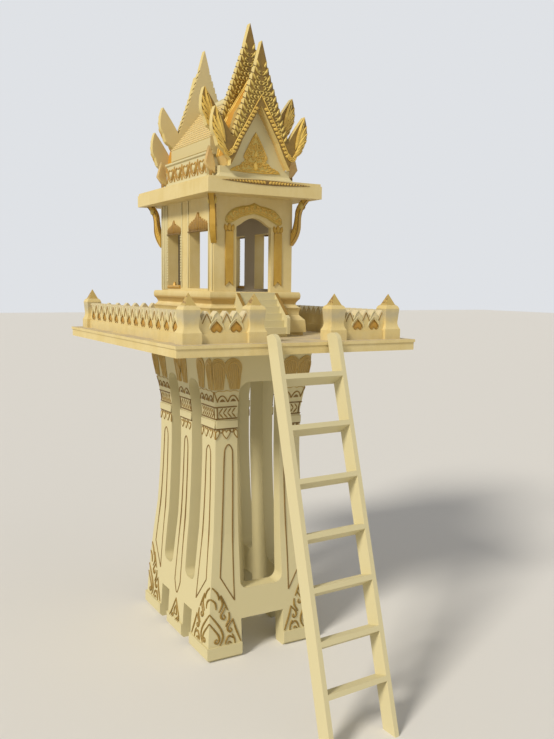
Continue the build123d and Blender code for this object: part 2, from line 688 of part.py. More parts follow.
def build_ladder():
    across = Vector(cos(LADDER_YAW), sin(LADDER_YAW), 0)
    level_back = Vector(-sin(LADDER_YAW), cos(LADDER_YAW), 0)
    plumb = level_back * sin(LADDER_LEAN) + Vector(0, 0, cos(LADDER_LEAN))
    inward = level_back * cos(LADDER_LEAN) - Vector(0, 0, sin(LADDER_LEAN))
    up = plumb * cos(LADDER_RACK) - across * sin(LADDER_RACK)

    # The right stile's back edge touches the deck's top front edge
    touch = (DECK_TOP - inward.Z * STILE_DEPTH) / up.Z
    reach = across * LADDER_WIDTH + up * touch + inward * STILE_DEPTH
    foot = Vector(LADDER_FOOT_X, -DECK_HALF_Y - reach.Y, 0)

    def point(lateral, height, depth):
        return foot + across * lateral + up * height + inward * depth

    def bar(lateral, height):
        """Board spanning two lateral and two height values, at the full depth."""
        corners = [point(lateral[0], height[0], depth) for depth in (0, STILE_DEPTH)]
        corners += [point(lateral[0], height[1], depth) for depth in (STILE_DEPTH, 0)]
        face = Face(Wire.make_polygon(corners, close=True))
        return extrude(face, lateral[1] - lateral[0], dir=across)

    below = block((-REACH, REACH), (-REACH, REACH), (-REACH, 0))
    spans = {
        "ladder_stile_left": (0, STILE_WIDTH),
        "ladder_stile_right": (LADDER_WIDTH - STILE_WIDTH, LADDER_WIDTH),
    }
    for name, span in spans.items():
        stile = bar(span, (-STILE_DEPTH, LADDER_LENGTH)) - below
        top_front = point(span[0], LADDER_LENGTH, 0)
        edge = stile.edges().sort_by_distance(top_front + across * STILE_WIDTH / 2)[0]
        write(name, fillet(edge, STILE_TOP_RADIUS))
    rungs = []
    for height in RUNG_HEIGHTS:
        top = height + RUNG_THICK
        corners = [
            point(STILE_WIDTH, height, 0),
            point(STILE_WIDTH, height - RUNG_BACK_DROP, STILE_DEPTH),
            point(STILE_WIDTH, top, STILE_DEPTH),
            point(STILE_WIDTH, top, 0),
        ]
        side = Face(Wire.make_polygon(corners, close=True))
        rungs.append(extrude(side, LADDER_WIDTH - 2 * STILE_WIDTH, dir=across))
    write("ladder_rungs", rungs)


os.makedirs("parts", exist_ok=True)
house_place = Pos(0, HOUSE_CENTRE_Y, 0)
build_pedestal()
build_deck()
build_balustrade()
build_house_base(house_place)
build_walls(house_place)
build_eaves(house_place)
build_roof(house_place)
build_ladder()
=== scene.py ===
"""Spirit house: paint, carving, roof tiles and gilding around the cast parts, and the stage."""

from math import atan2, cos, pi, radians, sin

import bpy
from bpy.props import FloatProperty, FloatVectorProperty, IntProperty, PointerProperty
from mathutils import Matrix, Vector


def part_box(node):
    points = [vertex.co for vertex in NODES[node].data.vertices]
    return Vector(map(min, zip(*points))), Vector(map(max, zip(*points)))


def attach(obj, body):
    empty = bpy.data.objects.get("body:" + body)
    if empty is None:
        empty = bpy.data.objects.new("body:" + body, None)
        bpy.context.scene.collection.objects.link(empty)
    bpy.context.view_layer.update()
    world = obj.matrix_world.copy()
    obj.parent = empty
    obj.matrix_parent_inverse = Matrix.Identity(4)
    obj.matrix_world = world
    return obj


bl_info = {
    "name": "Spirit House",
    "version": (1, 0, 0),
    "blender": (4, 5, 0),
    "location": "View3D > Sidebar > Spirit House",
    "description": "Paints and carves a cast spirit house and sets its stage",
    "category": "Object",
}

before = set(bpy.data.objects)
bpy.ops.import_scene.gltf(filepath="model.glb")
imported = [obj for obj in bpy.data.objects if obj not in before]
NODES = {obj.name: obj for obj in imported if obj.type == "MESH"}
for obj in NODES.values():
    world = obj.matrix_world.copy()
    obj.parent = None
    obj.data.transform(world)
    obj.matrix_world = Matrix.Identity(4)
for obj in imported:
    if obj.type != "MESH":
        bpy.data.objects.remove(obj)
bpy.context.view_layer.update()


def middle_y(node):
    low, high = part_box(node)
    return (low[1] + high[1]) / 2


# Places on the cast parts. WALL_X and WALL_Y are the outer faces' distances from the middle
DECK_Y = middle_y("deck_slab")
HOUSE_Y = middle_y("house_plinth")
DECK_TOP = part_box("deck_slab")[1][2]
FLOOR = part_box("house_plinth")[1][2]
CEILING = 1.4784
WALL_X = 0.142
WALL_Y = 0.223
ROOM_HALF_WIDTH = 0.1043
ROOM_HALF_LENGTH = 0.2054
PLINTH_NECK = (1.1385, 1.1600)
PEDIMENT_FACE = HOUSE_Y - 0.229
ROOF_EAVE = Vector((0.128, 0, 1.664))
ROOF_RIDGE = Vector((0, 0, 1.823))
ROOF_HALF_LENGTH = 0.164
ROOF_CAP = 0.022

# The two front gable boards: how much higher they stand than the lower one, and their face.
# The boards' backs and the gilt bands are distances from the house's middle
BOARDS = ((0.0, HOUSE_Y - 0.266), (0.073, HOUSE_Y - 0.186))
BOARD_BACKS = ((0.2430, 0.2445), (0.1630, 0.1645))
PORCH_GILT = 0.2030
BOARD_BLADE = Vector((0.017, 1.893))
BOARD_VALLEY = Vector((0.101, 1.657))
BOARD_ALONG = (BOARD_VALLEY - BOARD_BLADE).normalized()
BOARD_INWARD = Vector((BOARD_ALONG.y, -BOARD_ALONG.x))
BOARD_TEETH = 13


# Sizes and colours that a user would change

def colour(name, value, text):
    return FloatVectorProperty(name=name, description=text, default=value, subtype="COLOR",
                               size=3, min=0.0, max=1.0)


def length(name, value, text):
    return FloatProperty(name=name, description=text, default=value, min=0.0, unit="LENGTH",
                         subtype="DISTANCE", precision=4)


def strength(name, value, text):
    return FloatProperty(name=name, description=text, default=value, min=0.0)


class SpiritHousePaint(bpy.types.PropertyGroup):
    """Colours of the paints, as linear values"""
    cream: colour("Cream", (0.660, 0.520, 0.215), "Masonry paint on the cast parts")
    cream_pale: colour("Pale cream", (0.735, 0.610, 0.310), "Chalky patches in the cream paint")
    # Yellow-brown in the plinth's neck: partly paint, partly painted shade and warm reflected
    # light of the hollow
    ochre_and_shade: colour("Ochre", (0.490, 0.300, 0.075), "Darker cream in hollows")
    # Grey dirt with painted shade under the posts' shoulders; the same colour darkens the feet of
    # the posts and parapet
    grime_and_shade: colour("Grime", (0.400, 0.375, 0.285), "Grey grime under the posts' shoulders")
    gold: colour("Gold", (0.500, 0.300, 0.040), "Gold paint on carved parts")
    gold_deep: colour("Deep gold", (0.270, 0.160, 0.022), "Gold in the ground of the carving")
    gold_bright: colour("Bright gold", (0.840, 0.590, 0.135), "Rubbed gold on raised edges")
    # Painted shade: brown gold in grooves and recesses, laid on the main roof under the tiles, on
    # the tile courses and in the boards' notches
    shade_gold: colour("Old gold", (0.175, 0.092, 0.014), "Brown gold in grooves and recesses")
    amber: colour("Amber", (0.600, 0.250, 0.022), "Smooth porch roofs")
    tile: colour("Tile", (0.730, 0.560, 0.240), "Roof tiles")
    cement: colour("Cement", (0.420, 0.370, 0.310), "Bare cement inside the house")
    dust: colour("Dust", (0.420, 0.345, 0.262), "Dust on level surfaces")
    ladder: colour("Ladder", (0.660, 0.560, 0.290), "Brushed paint on the ladder")


class SpiritHouseCarving(bpy.types.PropertyGroup):
    """Sizes of the carving"""
    line: length("Line", 0.0022, "Half width of a painted groove line")
    scroll: length("Scroll", 0.0038, "Half width of a carved scroll at its thickest")
    tile_rows: IntProperty(name="Tile rows", description="Tile courses on each roof slope",
                           default=13, min=4, max=30)
    tile_width: length("Tile width", 0.0143, "Width of a roof tile")
    tile_lift: FloatProperty(name="Tile lift", description="Slope of a tile over the roof's own",
                             default=radians(10), min=0.0, max=radians(25), subtype="ANGLE")


class SpiritHouseStage(bpy.types.PropertyGroup):
    """Floor and lamps"""
    floor: colour("Floor", (0.72, 0.71, 0.69), "Colour of the floor")
    sky: colour("Backdrop", (0.74, 0.76, 0.79), "Colour behind the object")
    key: strength("Key lamp", 2.85, "Strength of the lamp on the left")
    fill: strength("Fill lamp", 0.28, "Strength of the lamp on the right")
    ambient: strength("Ambient", 0.36, "Strength of the even light")


# Drawn shapes: X across and Z up, and in a stroke also the half width at each place

def mm(*rows):
    """Rows of numbers in millimetres, as metres."""
    return [tuple(number / 1000 for number in row) for row in rows]


def mirror_line(points):
    """The other half of an outline, from its end back to its start."""
    return [(-x, z) for x, z in reversed(points)]


def moved(stroke, x, z, size=1.0):
    """A stroke scaled and moved. Its widths stay."""
    return [(x + a * size, z + b * size, width) for a, b, width in stroke]


def oblong(wide, tall):
    return [(-wide / 2, 0), (wide / 2, 0), (wide / 2, tall), (-wide / 2, tall)]


def pointed_oval(wide, tall, points=12, belly=0.4, foot=0.35):
    """Leaf outline from its foot to its tip and back; belly is the height of its widest."""
    half = points // 2
    right = []
    for index in range(1, half):
        t = index / half
        if t < belly:
            width = foot + (1 - foot) * sin(pi / 2 * t / belly)
        else:
            width = cos(pi / 2 * (t - belly) / (1 - belly)) ** 0.8
        right.append((wide / 2 * width, tall * t))
    return [(0, 0)] + right + [(0, tall)] + mirror_line(right)


def spiral(x, z, radius, turns, start, hand, steps=9):
    """Points of a curl that winds in to its centre, from a start in degrees."""
    points = []
    for index in range(steps + 1):
        t = index / steps
        angle = radians(start) + hand * 2 * pi * turns * t
        reach = radius * (1 - 0.82 * t)
        points.append((x + reach * cos(angle), z + reach * sin(angle)))
    return points


def upright(stroke, y, hand=1, lift=0.0):
    """A drawn stroke put on the upright plane at a Y, on one hand of the middle."""
    return [(Vector((hand * x, y, z + lift)), width) for x, z, width in stroke]


# Matrices that place a flat-drawn piece

def shift(x, y, z):
    return Matrix.Translation(Vector((x, y, z)))


def stand_on(point, out, up=(0, 0, 1)):
    """Stand a piece on a face, with its front looking out."""
    out = Vector(out).normalized()
    up = Vector(up).normalized()
    turn = Matrix(((-out).cross(up), -out, up)).transposed().to_4x4()
    return Matrix.Translation(Vector(point)) @ turn


def flat_turn(angle, x=0.0, z=0.0, size=1.0):
    """Turn, scale and move a piece within its own upright plane."""
    return shift(x, 0, z) @ Matrix.Rotation(-angle, 4, "Y") @ Matrix.Scale(size, 4)


FLIP_X = Matrix.Scale(-1, 4, (1, 0, 0))
HOUSE_BACK = shift(0, HOUSE_Y, 0) @ Matrix.Scale(-1, 4, (0, 1, 0)) @ shift(0, -HOUSE_Y, 0)


# Modelling

def clear_selection():
    active = bpy.context.view_layer.objects.active
    if active and active.mode != "OBJECT":
        bpy.ops.object.mode_set(mode="OBJECT")
    bpy.ops.object.select_all(action="DESELECT")


def pick(*pieces):
    clear_selection()
    for piece in pieces:
        piece.select_set(True)
    bpy.context.view_layer.objects.active = pieces[0]


def copy_of(source, matrix):
    made = source.copy()
    made.data = source.data.copy()
    bpy.context.collection.objects.link(made)
    made.data.transform(matrix)
    if matrix.determinant() < 0:
        made.data.flip_normals()
    return made


def join_pieces(name, pieces):
    pick(*pieces)
    if len(pieces) > 1:
        bpy.ops.object.join()
    joined = bpy.context.object
    joined.name = name
    return joined


def lay_copies(name, source, places):
    """Copy one modelled piece to many places and join the copies into one piece."""
    copies = [copy_of(source, place) for place in places]
    bpy.data.objects.remove(source)
    return join_pieces(name, copies)


def finish_piece(piece, finish):
    piece.data.materials.clear()
    piece.data.materials.append(bpy.data.materials[finish])
    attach(piece, "root")


def finish_both(piece, finish):
    """Repeat a piece of the house's front on its back and finish the two as one."""
    finish_piece(join_pieces(piece.name, [piece, copy_of(piece, HOUSE_BACK)]), finish)


def tidy_mesh(piece):
    pick(piece)
    bpy.ops.object.mode_set(mode="EDIT")
    bpy.ops.mesh.select_all(action="SELECT")
    bpy.ops.mesh.remove_doubles(threshold=0.00001)
    bpy.ops.mesh.normals_make_consistent(inside=False)
    bpy.ops.object.mode_set(mode="OBJECT")
    return piece


def new_curve(name, shape, add, **settings):
    """Empty curve of a shape, which its points then fill."""
    clear_selection()
    add()
    drawn = bpy.context.object
    drawn.name = name
    drawn.data.splines.clear()
    drawn.data.dimensions = shape
    for key, value in settings.items():
        setattr(drawn.data, key, value)
    return drawn.data


def cut_plate(name, outline, thick, edge=0.0):
    """Flat plate cut to an outline drawn upright, its back on the plane it stands on."""
    drawn = new_curve(name, "2D", bpy.ops.curve.primitive_bezier_circle_add, fill_mode="BOTH",
                      extrude=thick / 2 - edge, bevel_depth=edge, bevel_resolution=1,
                      offset=-edge)
    line = drawn.splines.new("POLY")
    line.points.add(len(outline) - 1)
    for point, (x, z) in zip(line.points, outline):
        point.co = (x, z, 0, 1)
    line.use_cyclic_u = True
    bpy.ops.object.convert(target="MESH")
    plate = bpy.context.object
    plate.rotation_euler = (pi / 2, 0, 0)
    plate.location = (0, -thick / 2, 0)
    pick(plate)
    bpy.ops.object.transform_apply(location=True, rotation=True, scale=True)
    return tidy_mesh(plate)


def carve_relief(name, outline, rise, inset):
    """Domed leaf: an outline raised, drawn in twice and brought to a crown."""
    clear_selection()
    bpy.ops.mesh.primitive_circle_add(vertices=len(outline), fill_type="NGON")
    leaf = bpy.context.object
    leaf.name = name
    for vertex, (x, z) in zip(leaf.data.vertices, outline):
        vertex.co = (x, 0, z)
    bpy.ops.object.mode_set(mode="EDIT")
    bpy.ops.mesh.select_all(action="SELECT")
    bpy.ops.mesh.extrude_region_move(TRANSFORM_OT_translate={"value": (0, -0.45 * rise, 0)})
    bpy.ops.mesh.inset(thickness=inset)
    bpy.ops.transform.translate(value=(0, -0.35 * rise, 0))
    bpy.ops.mesh.inset(thickness=inset * 0.8)
    bpy.ops.transform.translate(value=(0, -0.2 * rise, 0))
    bpy.ops.object.mode_set(mode="OBJECT")
    tidy_mesh(leaf)
    bpy.ops.object.shade_smooth_by_angle(angle=radians(50))
    return leaf


def draw_strokes(name, strokes, fineness=3, ring=1):
    """Carved lines: smooth round strokes through places with a half width at each."""
    drawn = new_curve(name, "3D", bpy.ops.curve.primitive_nurbs_path_add, bevel_depth=1.0,
                      bevel_resolution=ring, use_fill_caps=True)
    for stroke in strokes:
        line = drawn.splines.new("NURBS")
        line.points.add(len(stroke) - 1)
        for point, (place, width) in zip(line.points, stroke):
            point.co = (*place, 1)
            point.radius = width
        line.order_u = 3
        line.use_endpoint_u = True
        line.resolution_u = fineness
    bpy.ops.object.convert(target="MESH")
    bpy.ops.object.shade_smooth()
    return bpy.context.object


# Shader nodes

def feed(tree, socket, value):
    """Link another socket to a socket, or set it to a number or a colour."""
    if isinstance(value, bpy.types.NodeSocket):
        tree.links.new(value, socket)
    elif isinstance(value, (int, float)):
        socket.default_value = value
    else:
        socket.default_value = (*value, 1.0)


def new_node(tree, kind, **settings):
    node = tree.nodes.new(kind)
    for key, value in settings.items():
        if key in node.inputs:
            node.inputs[key].default_value = value
        else:
            setattr(node, key, value)
    return node


def new_group(name, inputs, outputs):
    """Node group with the sockets on both its ends. An input with four numbers is a colour."""
    tree = bpy.data.node_groups.new(name, "ShaderNodeTree")
    for label, value in inputs.items():
        kind = "NodeSocketColor" if isinstance(value, tuple) else "NodeSocketFloat"
        socket = tree.interface.new_socket(name=label, in_out="INPUT", socket_type=kind)
        socket.default_value = value
    for label, kind in outputs.items():
        tree.interface.new_socket(name=label, in_out="OUTPUT", socket_type=kind)
    inlet, outlet = tree.nodes.new("NodeGroupInput"), tree.nodes.new("NodeGroupOutput")
    return tree, inlet.outputs, outlet.inputs


def place_group(tree, name, **values):
    node = tree.nodes.new("ShaderNodeGroup")
    node.node_tree = bpy.data.node_groups[name]
    for key, value in values.items():
        feed(tree, node.inputs[key.replace("_", " ")], value)
    return node.outputs


def mix_colours(tree, factor, first, second, blend="MIX"):
    node = new_node(tree, "ShaderNodeMix", data_type="RGBA", blend_type=blend)
    for socket, value in ((0, factor), (6, first), (7, second)):
        feed(tree, node.inputs[socket], value)
    return node.outputs[2]


def calculate(tree, operation, *values, clamp=False):
    node = new_node(tree, "ShaderNodeMath", operation=operation, use_clamp=clamp)
    for socket, value in zip(node.inputs, values):
        feed(tree, socket, value)
    return node.outputs[0]


def times(tree, first, *others):
    for other in others:
        first = calculate(tree, "MULTIPLY", first, other)
    return first


def size_of(tree, value):
    return calculate(tree, "ABSOLUTE", value)


def is_under(tree, value, limit):
    return calculate(tree, "LESS_THAN", value, limit)


def is_over(tree, value, limit):
    return calculate(tree, "GREATER_THAN", value, limit)


def ramp(tree, value, low, high, first=0.0, last=1.0):
    """Spread a value between two limits over zero to one, or from a first to a last value."""
    node = new_node(tree, "ShaderNodeMapRange", clamp=True)
    for label, given in (("Value", value), ("From Min", low), ("From Max", high),
                         ("To Min", first), ("To Max", last)):
        feed(tree, node.inputs[label], given)
    return node.outputs["Result"]


def between(tree, value, low, high, soft):
    """Mask that is one between two limits, with soft ends."""
    return times(tree, ramp(tree, value, low - soft, low + soft),
                 ramp(tree, value, high + soft, high - soft))


def object_place(tree):
    return tree.nodes.new("ShaderNodeTexCoord").outputs["Object"]


def split(tree, vector):
    node = tree.nodes.new("ShaderNodeSeparateXYZ")
    tree.links.new(vector, node.inputs[0])
    return node.outputs


def noise(tree, place, scale, detail, rough=0.5):
    node = new_node(tree, "ShaderNodeTexNoise", Detail=detail, Roughness=rough)
    feed(tree, node.inputs["Vector"], place)
    feed(tree, node.inputs["Scale"], scale)
    return node.outputs["Fac"]


def brush_group():
    """Brushed masonry paint: cloudy patches, brush streaks and a sandy grain."""
    tree, inlet, outlet = new_group(
        "Brushed Paint",
        {"Colour": (0.5, 0.5, 0.5, 1), "Patch Colour": (0.6, 0.6, 0.6, 1), "Patch Scale": 9.0,
         "Streak Scale": 60.0, "Grain Scale": 700.0},
        {"Colour": "NodeSocketColor", "Grain": "NodeSocketFloat"})
    place = object_place(tree)
    stretch = new_node(tree, "ShaderNodeMapping", Scale=(1.0, 1.0, 0.18))
    tree.links.new(place, stretch.inputs["Vector"])
    patches = noise(tree, place, inlet["Patch Scale"], 5.0, 0.62)
    streaks = noise(tree, stretch.outputs[0], inlet["Streak Scale"], 3.0)
    grain = noise(tree, place, inlet["Grain Scale"], 2.0)
    blend = calculate(tree, "MULTIPLY_ADD", ramp(tree, streaks, 0.35, 0.7), 0.3,
                      times(tree, ramp(tree, patches, 0.36, 0.68), 0.7))
    painted = mix_colours(tree, blend, inlet["Colour"], inlet["Patch Colour"])
    shade = mix_colours(tree, ramp(tree, grain, 0.25, 0.75), (0.93, 0.93, 0.93),
                        (1.05, 1.05, 1.05))
    feed(tree, outlet["Colour"], mix_colours(tree, 1.0, painted, shade, "MULTIPLY"))
    feed(tree, outlet["Grain"], calculate(tree, "MULTIPLY_ADD", streaks, 0.5, grain))


def dust_group():
    """Dust that lies on level faces, thicker in patches."""
    tree, inlet, outlet = new_group(
        "Settled Dust",
        {"Colour": (0.5, 0.5, 0.5, 1), "Dust Colour": (0.4, 0.35, 0.3, 1), "Amount": 0.5},
        {"Colour": "NodeSocketColor"})
    facing = split(tree, tree.nodes.new("ShaderNodeNewGeometry").outputs["Normal"])
    cloud = noise(tree, object_place(tree), 14.0, 6.0, 0.7)
    amount = times(tree, ramp(tree, facing["Z"], 0.55, 0.98), ramp(tree, cloud, 0.3, 0.65),
                   inlet["Amount"])
    feed(tree, outlet["Colour"], mix_colours(tree, amount, inlet["Colour"],
                                             inlet["Dust Colour"]))


# Masks of the paints' marks, each from the place and the facing of the surface

def from_middle(tree, place):
    """Distance from the house's middle towards its front or back."""
    return size_of(tree, calculate(tree, "SUBTRACT", place["Y"], HOUSE_Y))


def ragged(tree, place, scale, depth):
    """Height over the deck with a ragged edge."""
    edge = noise(tree, object_place(tree), scale, 4.0)
    height = calculate(tree, "MULTIPLY_ADD", edge, depth, place["Z"])
    return calculate(tree, "SUBTRACT", height, DECK_TOP)


def tips(tree, place, facing):
    return ramp(tree, ragged(tree, place, 220.0, 0.006), 0.108, 0.110)


def tip_flames(tree, place, facing):
    shape = ramp(tree, noise(tree, object_place(tree), 170.0, 2.0), 0.46, 0.54)
    height = calculate(tree, "SUBTRACT", place["Z"], DECK_TOP)
    return times(tree, is_over(tree, size_of(tree, facing["X"]), 0.5), shape,
                 between(tree, height, 0.112, 0.134, 0.002))


def pale_crest(tree, place, facing):
    return times(tree, ramp(tree, ragged(tree, place, 60.0, 0.020), 0.068, 0.090), 0.8)


# Painted shade under the posts' shoulders on their upright faces, mixed with grey dirt
def grime_and_shade(tree, place, facing):
    waist = between(tree, ragged(tree, place, 40.0, 0.030), 0.076, 0.108, 0.012)
    return times(tree, waist, is_under(tree, size_of(tree, facing["Z"]), 0.35), 0.75)


# Darker towards the deck over the lowest few centimetres of the posts and parapet
def darker_near_deck(tree, place, facing):
    return times(tree, ramp(tree, ragged(tree, place, 30.0, 0.040), 0.040, 0.012), 0.45)


def room(tree, place, facing):
    return times(tree, is_under(tree, size_of(tree, place["X"]), ROOM_HALF_WIDTH),
                 is_under(tree, from_middle(tree, place), ROOM_HALF_LENGTH),
                 is_over(tree, place["Z"], FLOOR - 0.0004),
                 is_under(tree, place["Z"], CEILING))


# Yellow-brown band in the plinth's neck: partly paint, partly painted shade of the cove
def neck(tree, place, facing):
    return times(tree, between(tree, place["Z"], *PLINTH_NECK, 0.0015), 0.8)


def board_backs(tree, place, facing):
    distance = from_middle(tree, place)
    lower, upper = [between(tree, distance, *limits, 0.0004) for limits in BOARD_BACKS]
    return calculate(tree, "ADD", lower, upper, clamp=True)


# Painted highlight: the sideways faces of the gable boards' teeth are coloured bright gold as if
# sunlit
def board_edge_highlight(tree, place, facing):
    return is_under(tree, size_of(tree, facing["Y"]), 0.7)


def board_reveals(tree, place, facing):
    return times(tree, is_under(tree, facing["Z"], -0.2),
                 is_under(tree, size_of(tree, place["X"]), 0.107))


def undersides(tree, place, facing):
    return is_under(tree, facing["Z"], 0.12)


def gilt_bands(tree, place, facing):
    return is_under(tree, from_middle(tree, place), PORCH_GILT)


def slopes(tree, place, facing):
    return is_over(tree, facing["Z"], 0.3)


def tile_pitch():
    """Distance between two tile courses, along the slope."""
    rows = bpy.context.scene.spirit_house_carving.tile_rows
    return ((ROOF_RIDGE - ROOF_EAVE).length - ROOF_CAP) / rows


def course_shade(tree, place, facing):
    """The upper part of each tile course."""
    course = tile_pitch() * (ROOF_RIDGE - ROOF_EAVE).normalized().z
    rise = calculate(tree, "SUBTRACT", place["Z"], ROOF_EAVE.z)
    share = calculate(tree, "FRACT", calculate(tree, "DIVIDE", rise, course))
    return times(tree, ramp(tree, share, 0.54, 0.70), slopes(tree, place, facing))


# Paints of the cast parts and tiles, by how they differ from the plain cream paint
CAST_PAINTS = {
    "cream_paint": {},
    "deck_paint": {"dust": 0.9},
    # Main roof: its slopes under the tiles are painted dark brown gold as painted shade between
    # the tiles
    "roof_paint": {"marks": ((slopes, "shade_gold"),)},
    "wall_paint": {"marks": ((room, "cement"),)},
    # Plinth: yellow-brown neck, partly painted shade; bare cement inside the room
    "plinth_paint": {"marks": ((neck, "ochre_and_shade"), (room, "cement"))},
    "parapet_paint": {"marks": ((darker_near_deck, "grime_and_shade"), (pale_crest, (0.660, 0.600, 0.430)))},
    # Posts: painted shade and grey dirt under the shoulders, darker near the deck, gilded tips
    "post_paint": {"marks": ((grime_and_shade, "grime_and_shade"), (darker_near_deck, "grime_and_shade"),
                             (tips, (0.420, 0.290, 0.070)), (tip_flames, (0.190, 0.085, 0.030)))},
    # Gable boards: dark gold ground, painted highlight on the teeth's sideways faces, cream
    # reveals and backs
    "board_paint": {"base": (0.185, 0.108, 0.014), "patch": "gold_deep", "dust": 0.0,
                    "roughness": (0.35, 0.6), "patch_scale": 50.0,
                    "marks": ((board_edge_highlight, (0.850, 0.690, 0.270)), (board_reveals, "cream"),
                              (board_backs, "cream_pale"))},
    "porch_paint": {"base": "amber", "patch": "gold", "dust": 0.0, "roughness": (0.55, 0.7),
                    "marks": ((gilt_bands, "gold"), (undersides, "cream"))},
    "tile_paint": {"base": "tile", "dust": 0.0, "patch_scale": 40.0,
                   "marks": ((course_shade, "shade_gold"),)},
    "ladder_paint": {"base": "ladder", "dust": 0.15, "grain": 420.0, "bump": 0.0008,
                     "patch_scale": 25.0},
}
# Paints of the trims: name, base, patches, roughness from and to, scale of the patches, metal
TRIM_PAINTS = (
    ("gold_paint", "gold", "gold_bright", 0.34, 0.55, 45.0, 0.15),
    ("bright_gold_paint", "gold_bright", "gold", 0.30, 0.50, 60.0, 0.15),
    ("amber_paint", "amber", "gold", 0.50, 0.70, 9.0, 0.0),
    ("heart_paint", (0.520, 0.262, 0.035), "gold", 0.40, 0.60, 70.0, 0.0),
    ("scroll_paint", (0.205, 0.120, 0.018), (0.330, 0.210, 0.036), 0.32, 0.50, 130.0, 0.1),
    ("crown_paint", (0.340, 0.180, 0.028), "gold_deep", 0.40, 0.60, 90.0, 0.0),
    ("strip_paint", (0.480, 0.275, 0.028), (0.560, 0.360, 0.060), 0.40, 0.60, 30.0, 0.0),
    ("petal_paint", (0.400, 0.270, 0.080), (0.480, 0.350, 0.120), 0.45, 0.65, 60.0, 0.0),
    ("petal_rim_paint", (0.540, 0.410, 0.165), "gold", 0.40, 0.60, 60.0, 0.0),
    ("line_paint", (0.150, 0.078, 0.012), (0.260, 0.155, 0.030), 0.40, 0.60, 110.0, 0.0),
    # Painted shade in the notches between the gable boards' teeth
    ("notch_shade_paint", (0.060, 0.036, 0.010), "shade_gold", 0.50, 0.70, 90.0, 0.0),
    ("frieze_paint", (0.300, 0.160, 0.036), "gold", 0.45, 0.65, 90.0, 0.0),
    ("pediment_paint", (0.720, 0.480, 0.105), "gold", 0.40, 0.60, 120.0, 0.0),
    ("cheek_paint", (0.290, 0.170, 0.035), "gold_deep", 0.45, 0.65, 90.0, 0.0),
    ("fin_paint", (0.560, 0.350, 0.130), "cream", 0.50, 0.70, 30.0, 0.0),
)
# Which paint a cast part gets, by a piece of its name. The others get the cream paint
NODE_PAINTS = (
    ("posts", "post_paint"), ("deck", "deck_paint"), ("house_plinth", "plinth_paint"),
    ("wall", "wall_paint"), ("eave_slab", "wall_paint"), ("sills", "wall_paint"),
    ("main_roof", "roof_paint"), ("porch_roof", "porch_paint"), ("brackets", "strip_paint"),
    ("parapet", "parapet_paint"), ("gable_board", "board_paint"), ("ladder", "ladder_paint"),
)


def palette(value):
    """A colour by its name among the settings, or plain numbers as they are."""
    if isinstance(value, str):
        return getattr(bpy.context.scene.spirit_house_paint, value)
    return value


def new_paint(name, base="cream", patch="cream_pale", dust=0.35, roughness=(0.55, 0.75),
              metal=0.0, bump=0.0004, grain=700.0, patch_scale=9.0, marks=()):
    """Paint with patches, grain and dust. Each mark is a mask and the colour that shows there."""
    material = bpy.data.materials.new(name)
    material.use_nodes = True
    tree = material.node_tree
    shader = tree.nodes["Principled BSDF"].inputs
    place = split(tree, object_place(tree))
    facing = split(tree, tree.nodes.new("ShaderNodeNewGeometry").outputs["True Normal"])
    brush = place_group(tree, "Brushed Paint", Colour=palette(base), Patch_Colour=palette(patch),
                        Grain_Scale=grain, Patch_Scale=patch_scale)
    shown = brush["Colour"]
    for mask_of, tint in marks:
        shaded = mix_colours(tree, 0.25, palette(tint), shown)
        shown = mix_colours(tree, mask_of(tree, place, facing), shown, shaded)
    dusty = place_group(tree, "Settled Dust", Colour=shown, Dust_Colour=palette("dust"),
                        Amount=dust)
    relief = new_node(tree, "ShaderNodeBump", Strength=0.6, Distance=bump)
    feed(tree, relief.inputs["Height"], brush["Grain"])
    feed(tree, shader["Base Color"], dusty["Colour"])
    feed(tree, shader["Roughness"], ramp(tree, brush["Grain"], 0.0, 1.0, *roughness))
    feed(tree, shader["Metallic"], metal)
    feed(tree, shader["Normal"], relief.outputs["Normal"])


class MixPaints(bpy.types.Operator):
    """Mix the paints of the cast parts and of the trims"""
    bl_idname = "spirit_house.mix_paints"
    bl_label = "Mix paints"

    def execute(self, context):
        brush_group()
        dust_group()
        for name, changes in CAST_PAINTS.items():
            new_paint(name, **changes)
        for name, base, patch, low, high, scale, metal in TRIM_PAINTS:
            new_paint(name, base, patch, dust=0.0, roughness=(low, high), metal=metal,
                      patch_scale=scale)
        return {"FINISHED"}


class PaintNodes(bpy.types.Operator):
    """Put the paints on the cast parts"""
    bl_idname = "spirit_house.paint_nodes"
    bl_label = "Paint cast parts"

    def execute(self, context):
        for name, node in NODES.items():
            finish = next((paint for part, paint in NODE_PAINTS if part in name), "cream_paint")
            node.data.materials.clear()
            node.data.materials.append(bpy.data.materials[finish])
        return {"FINISHED"}


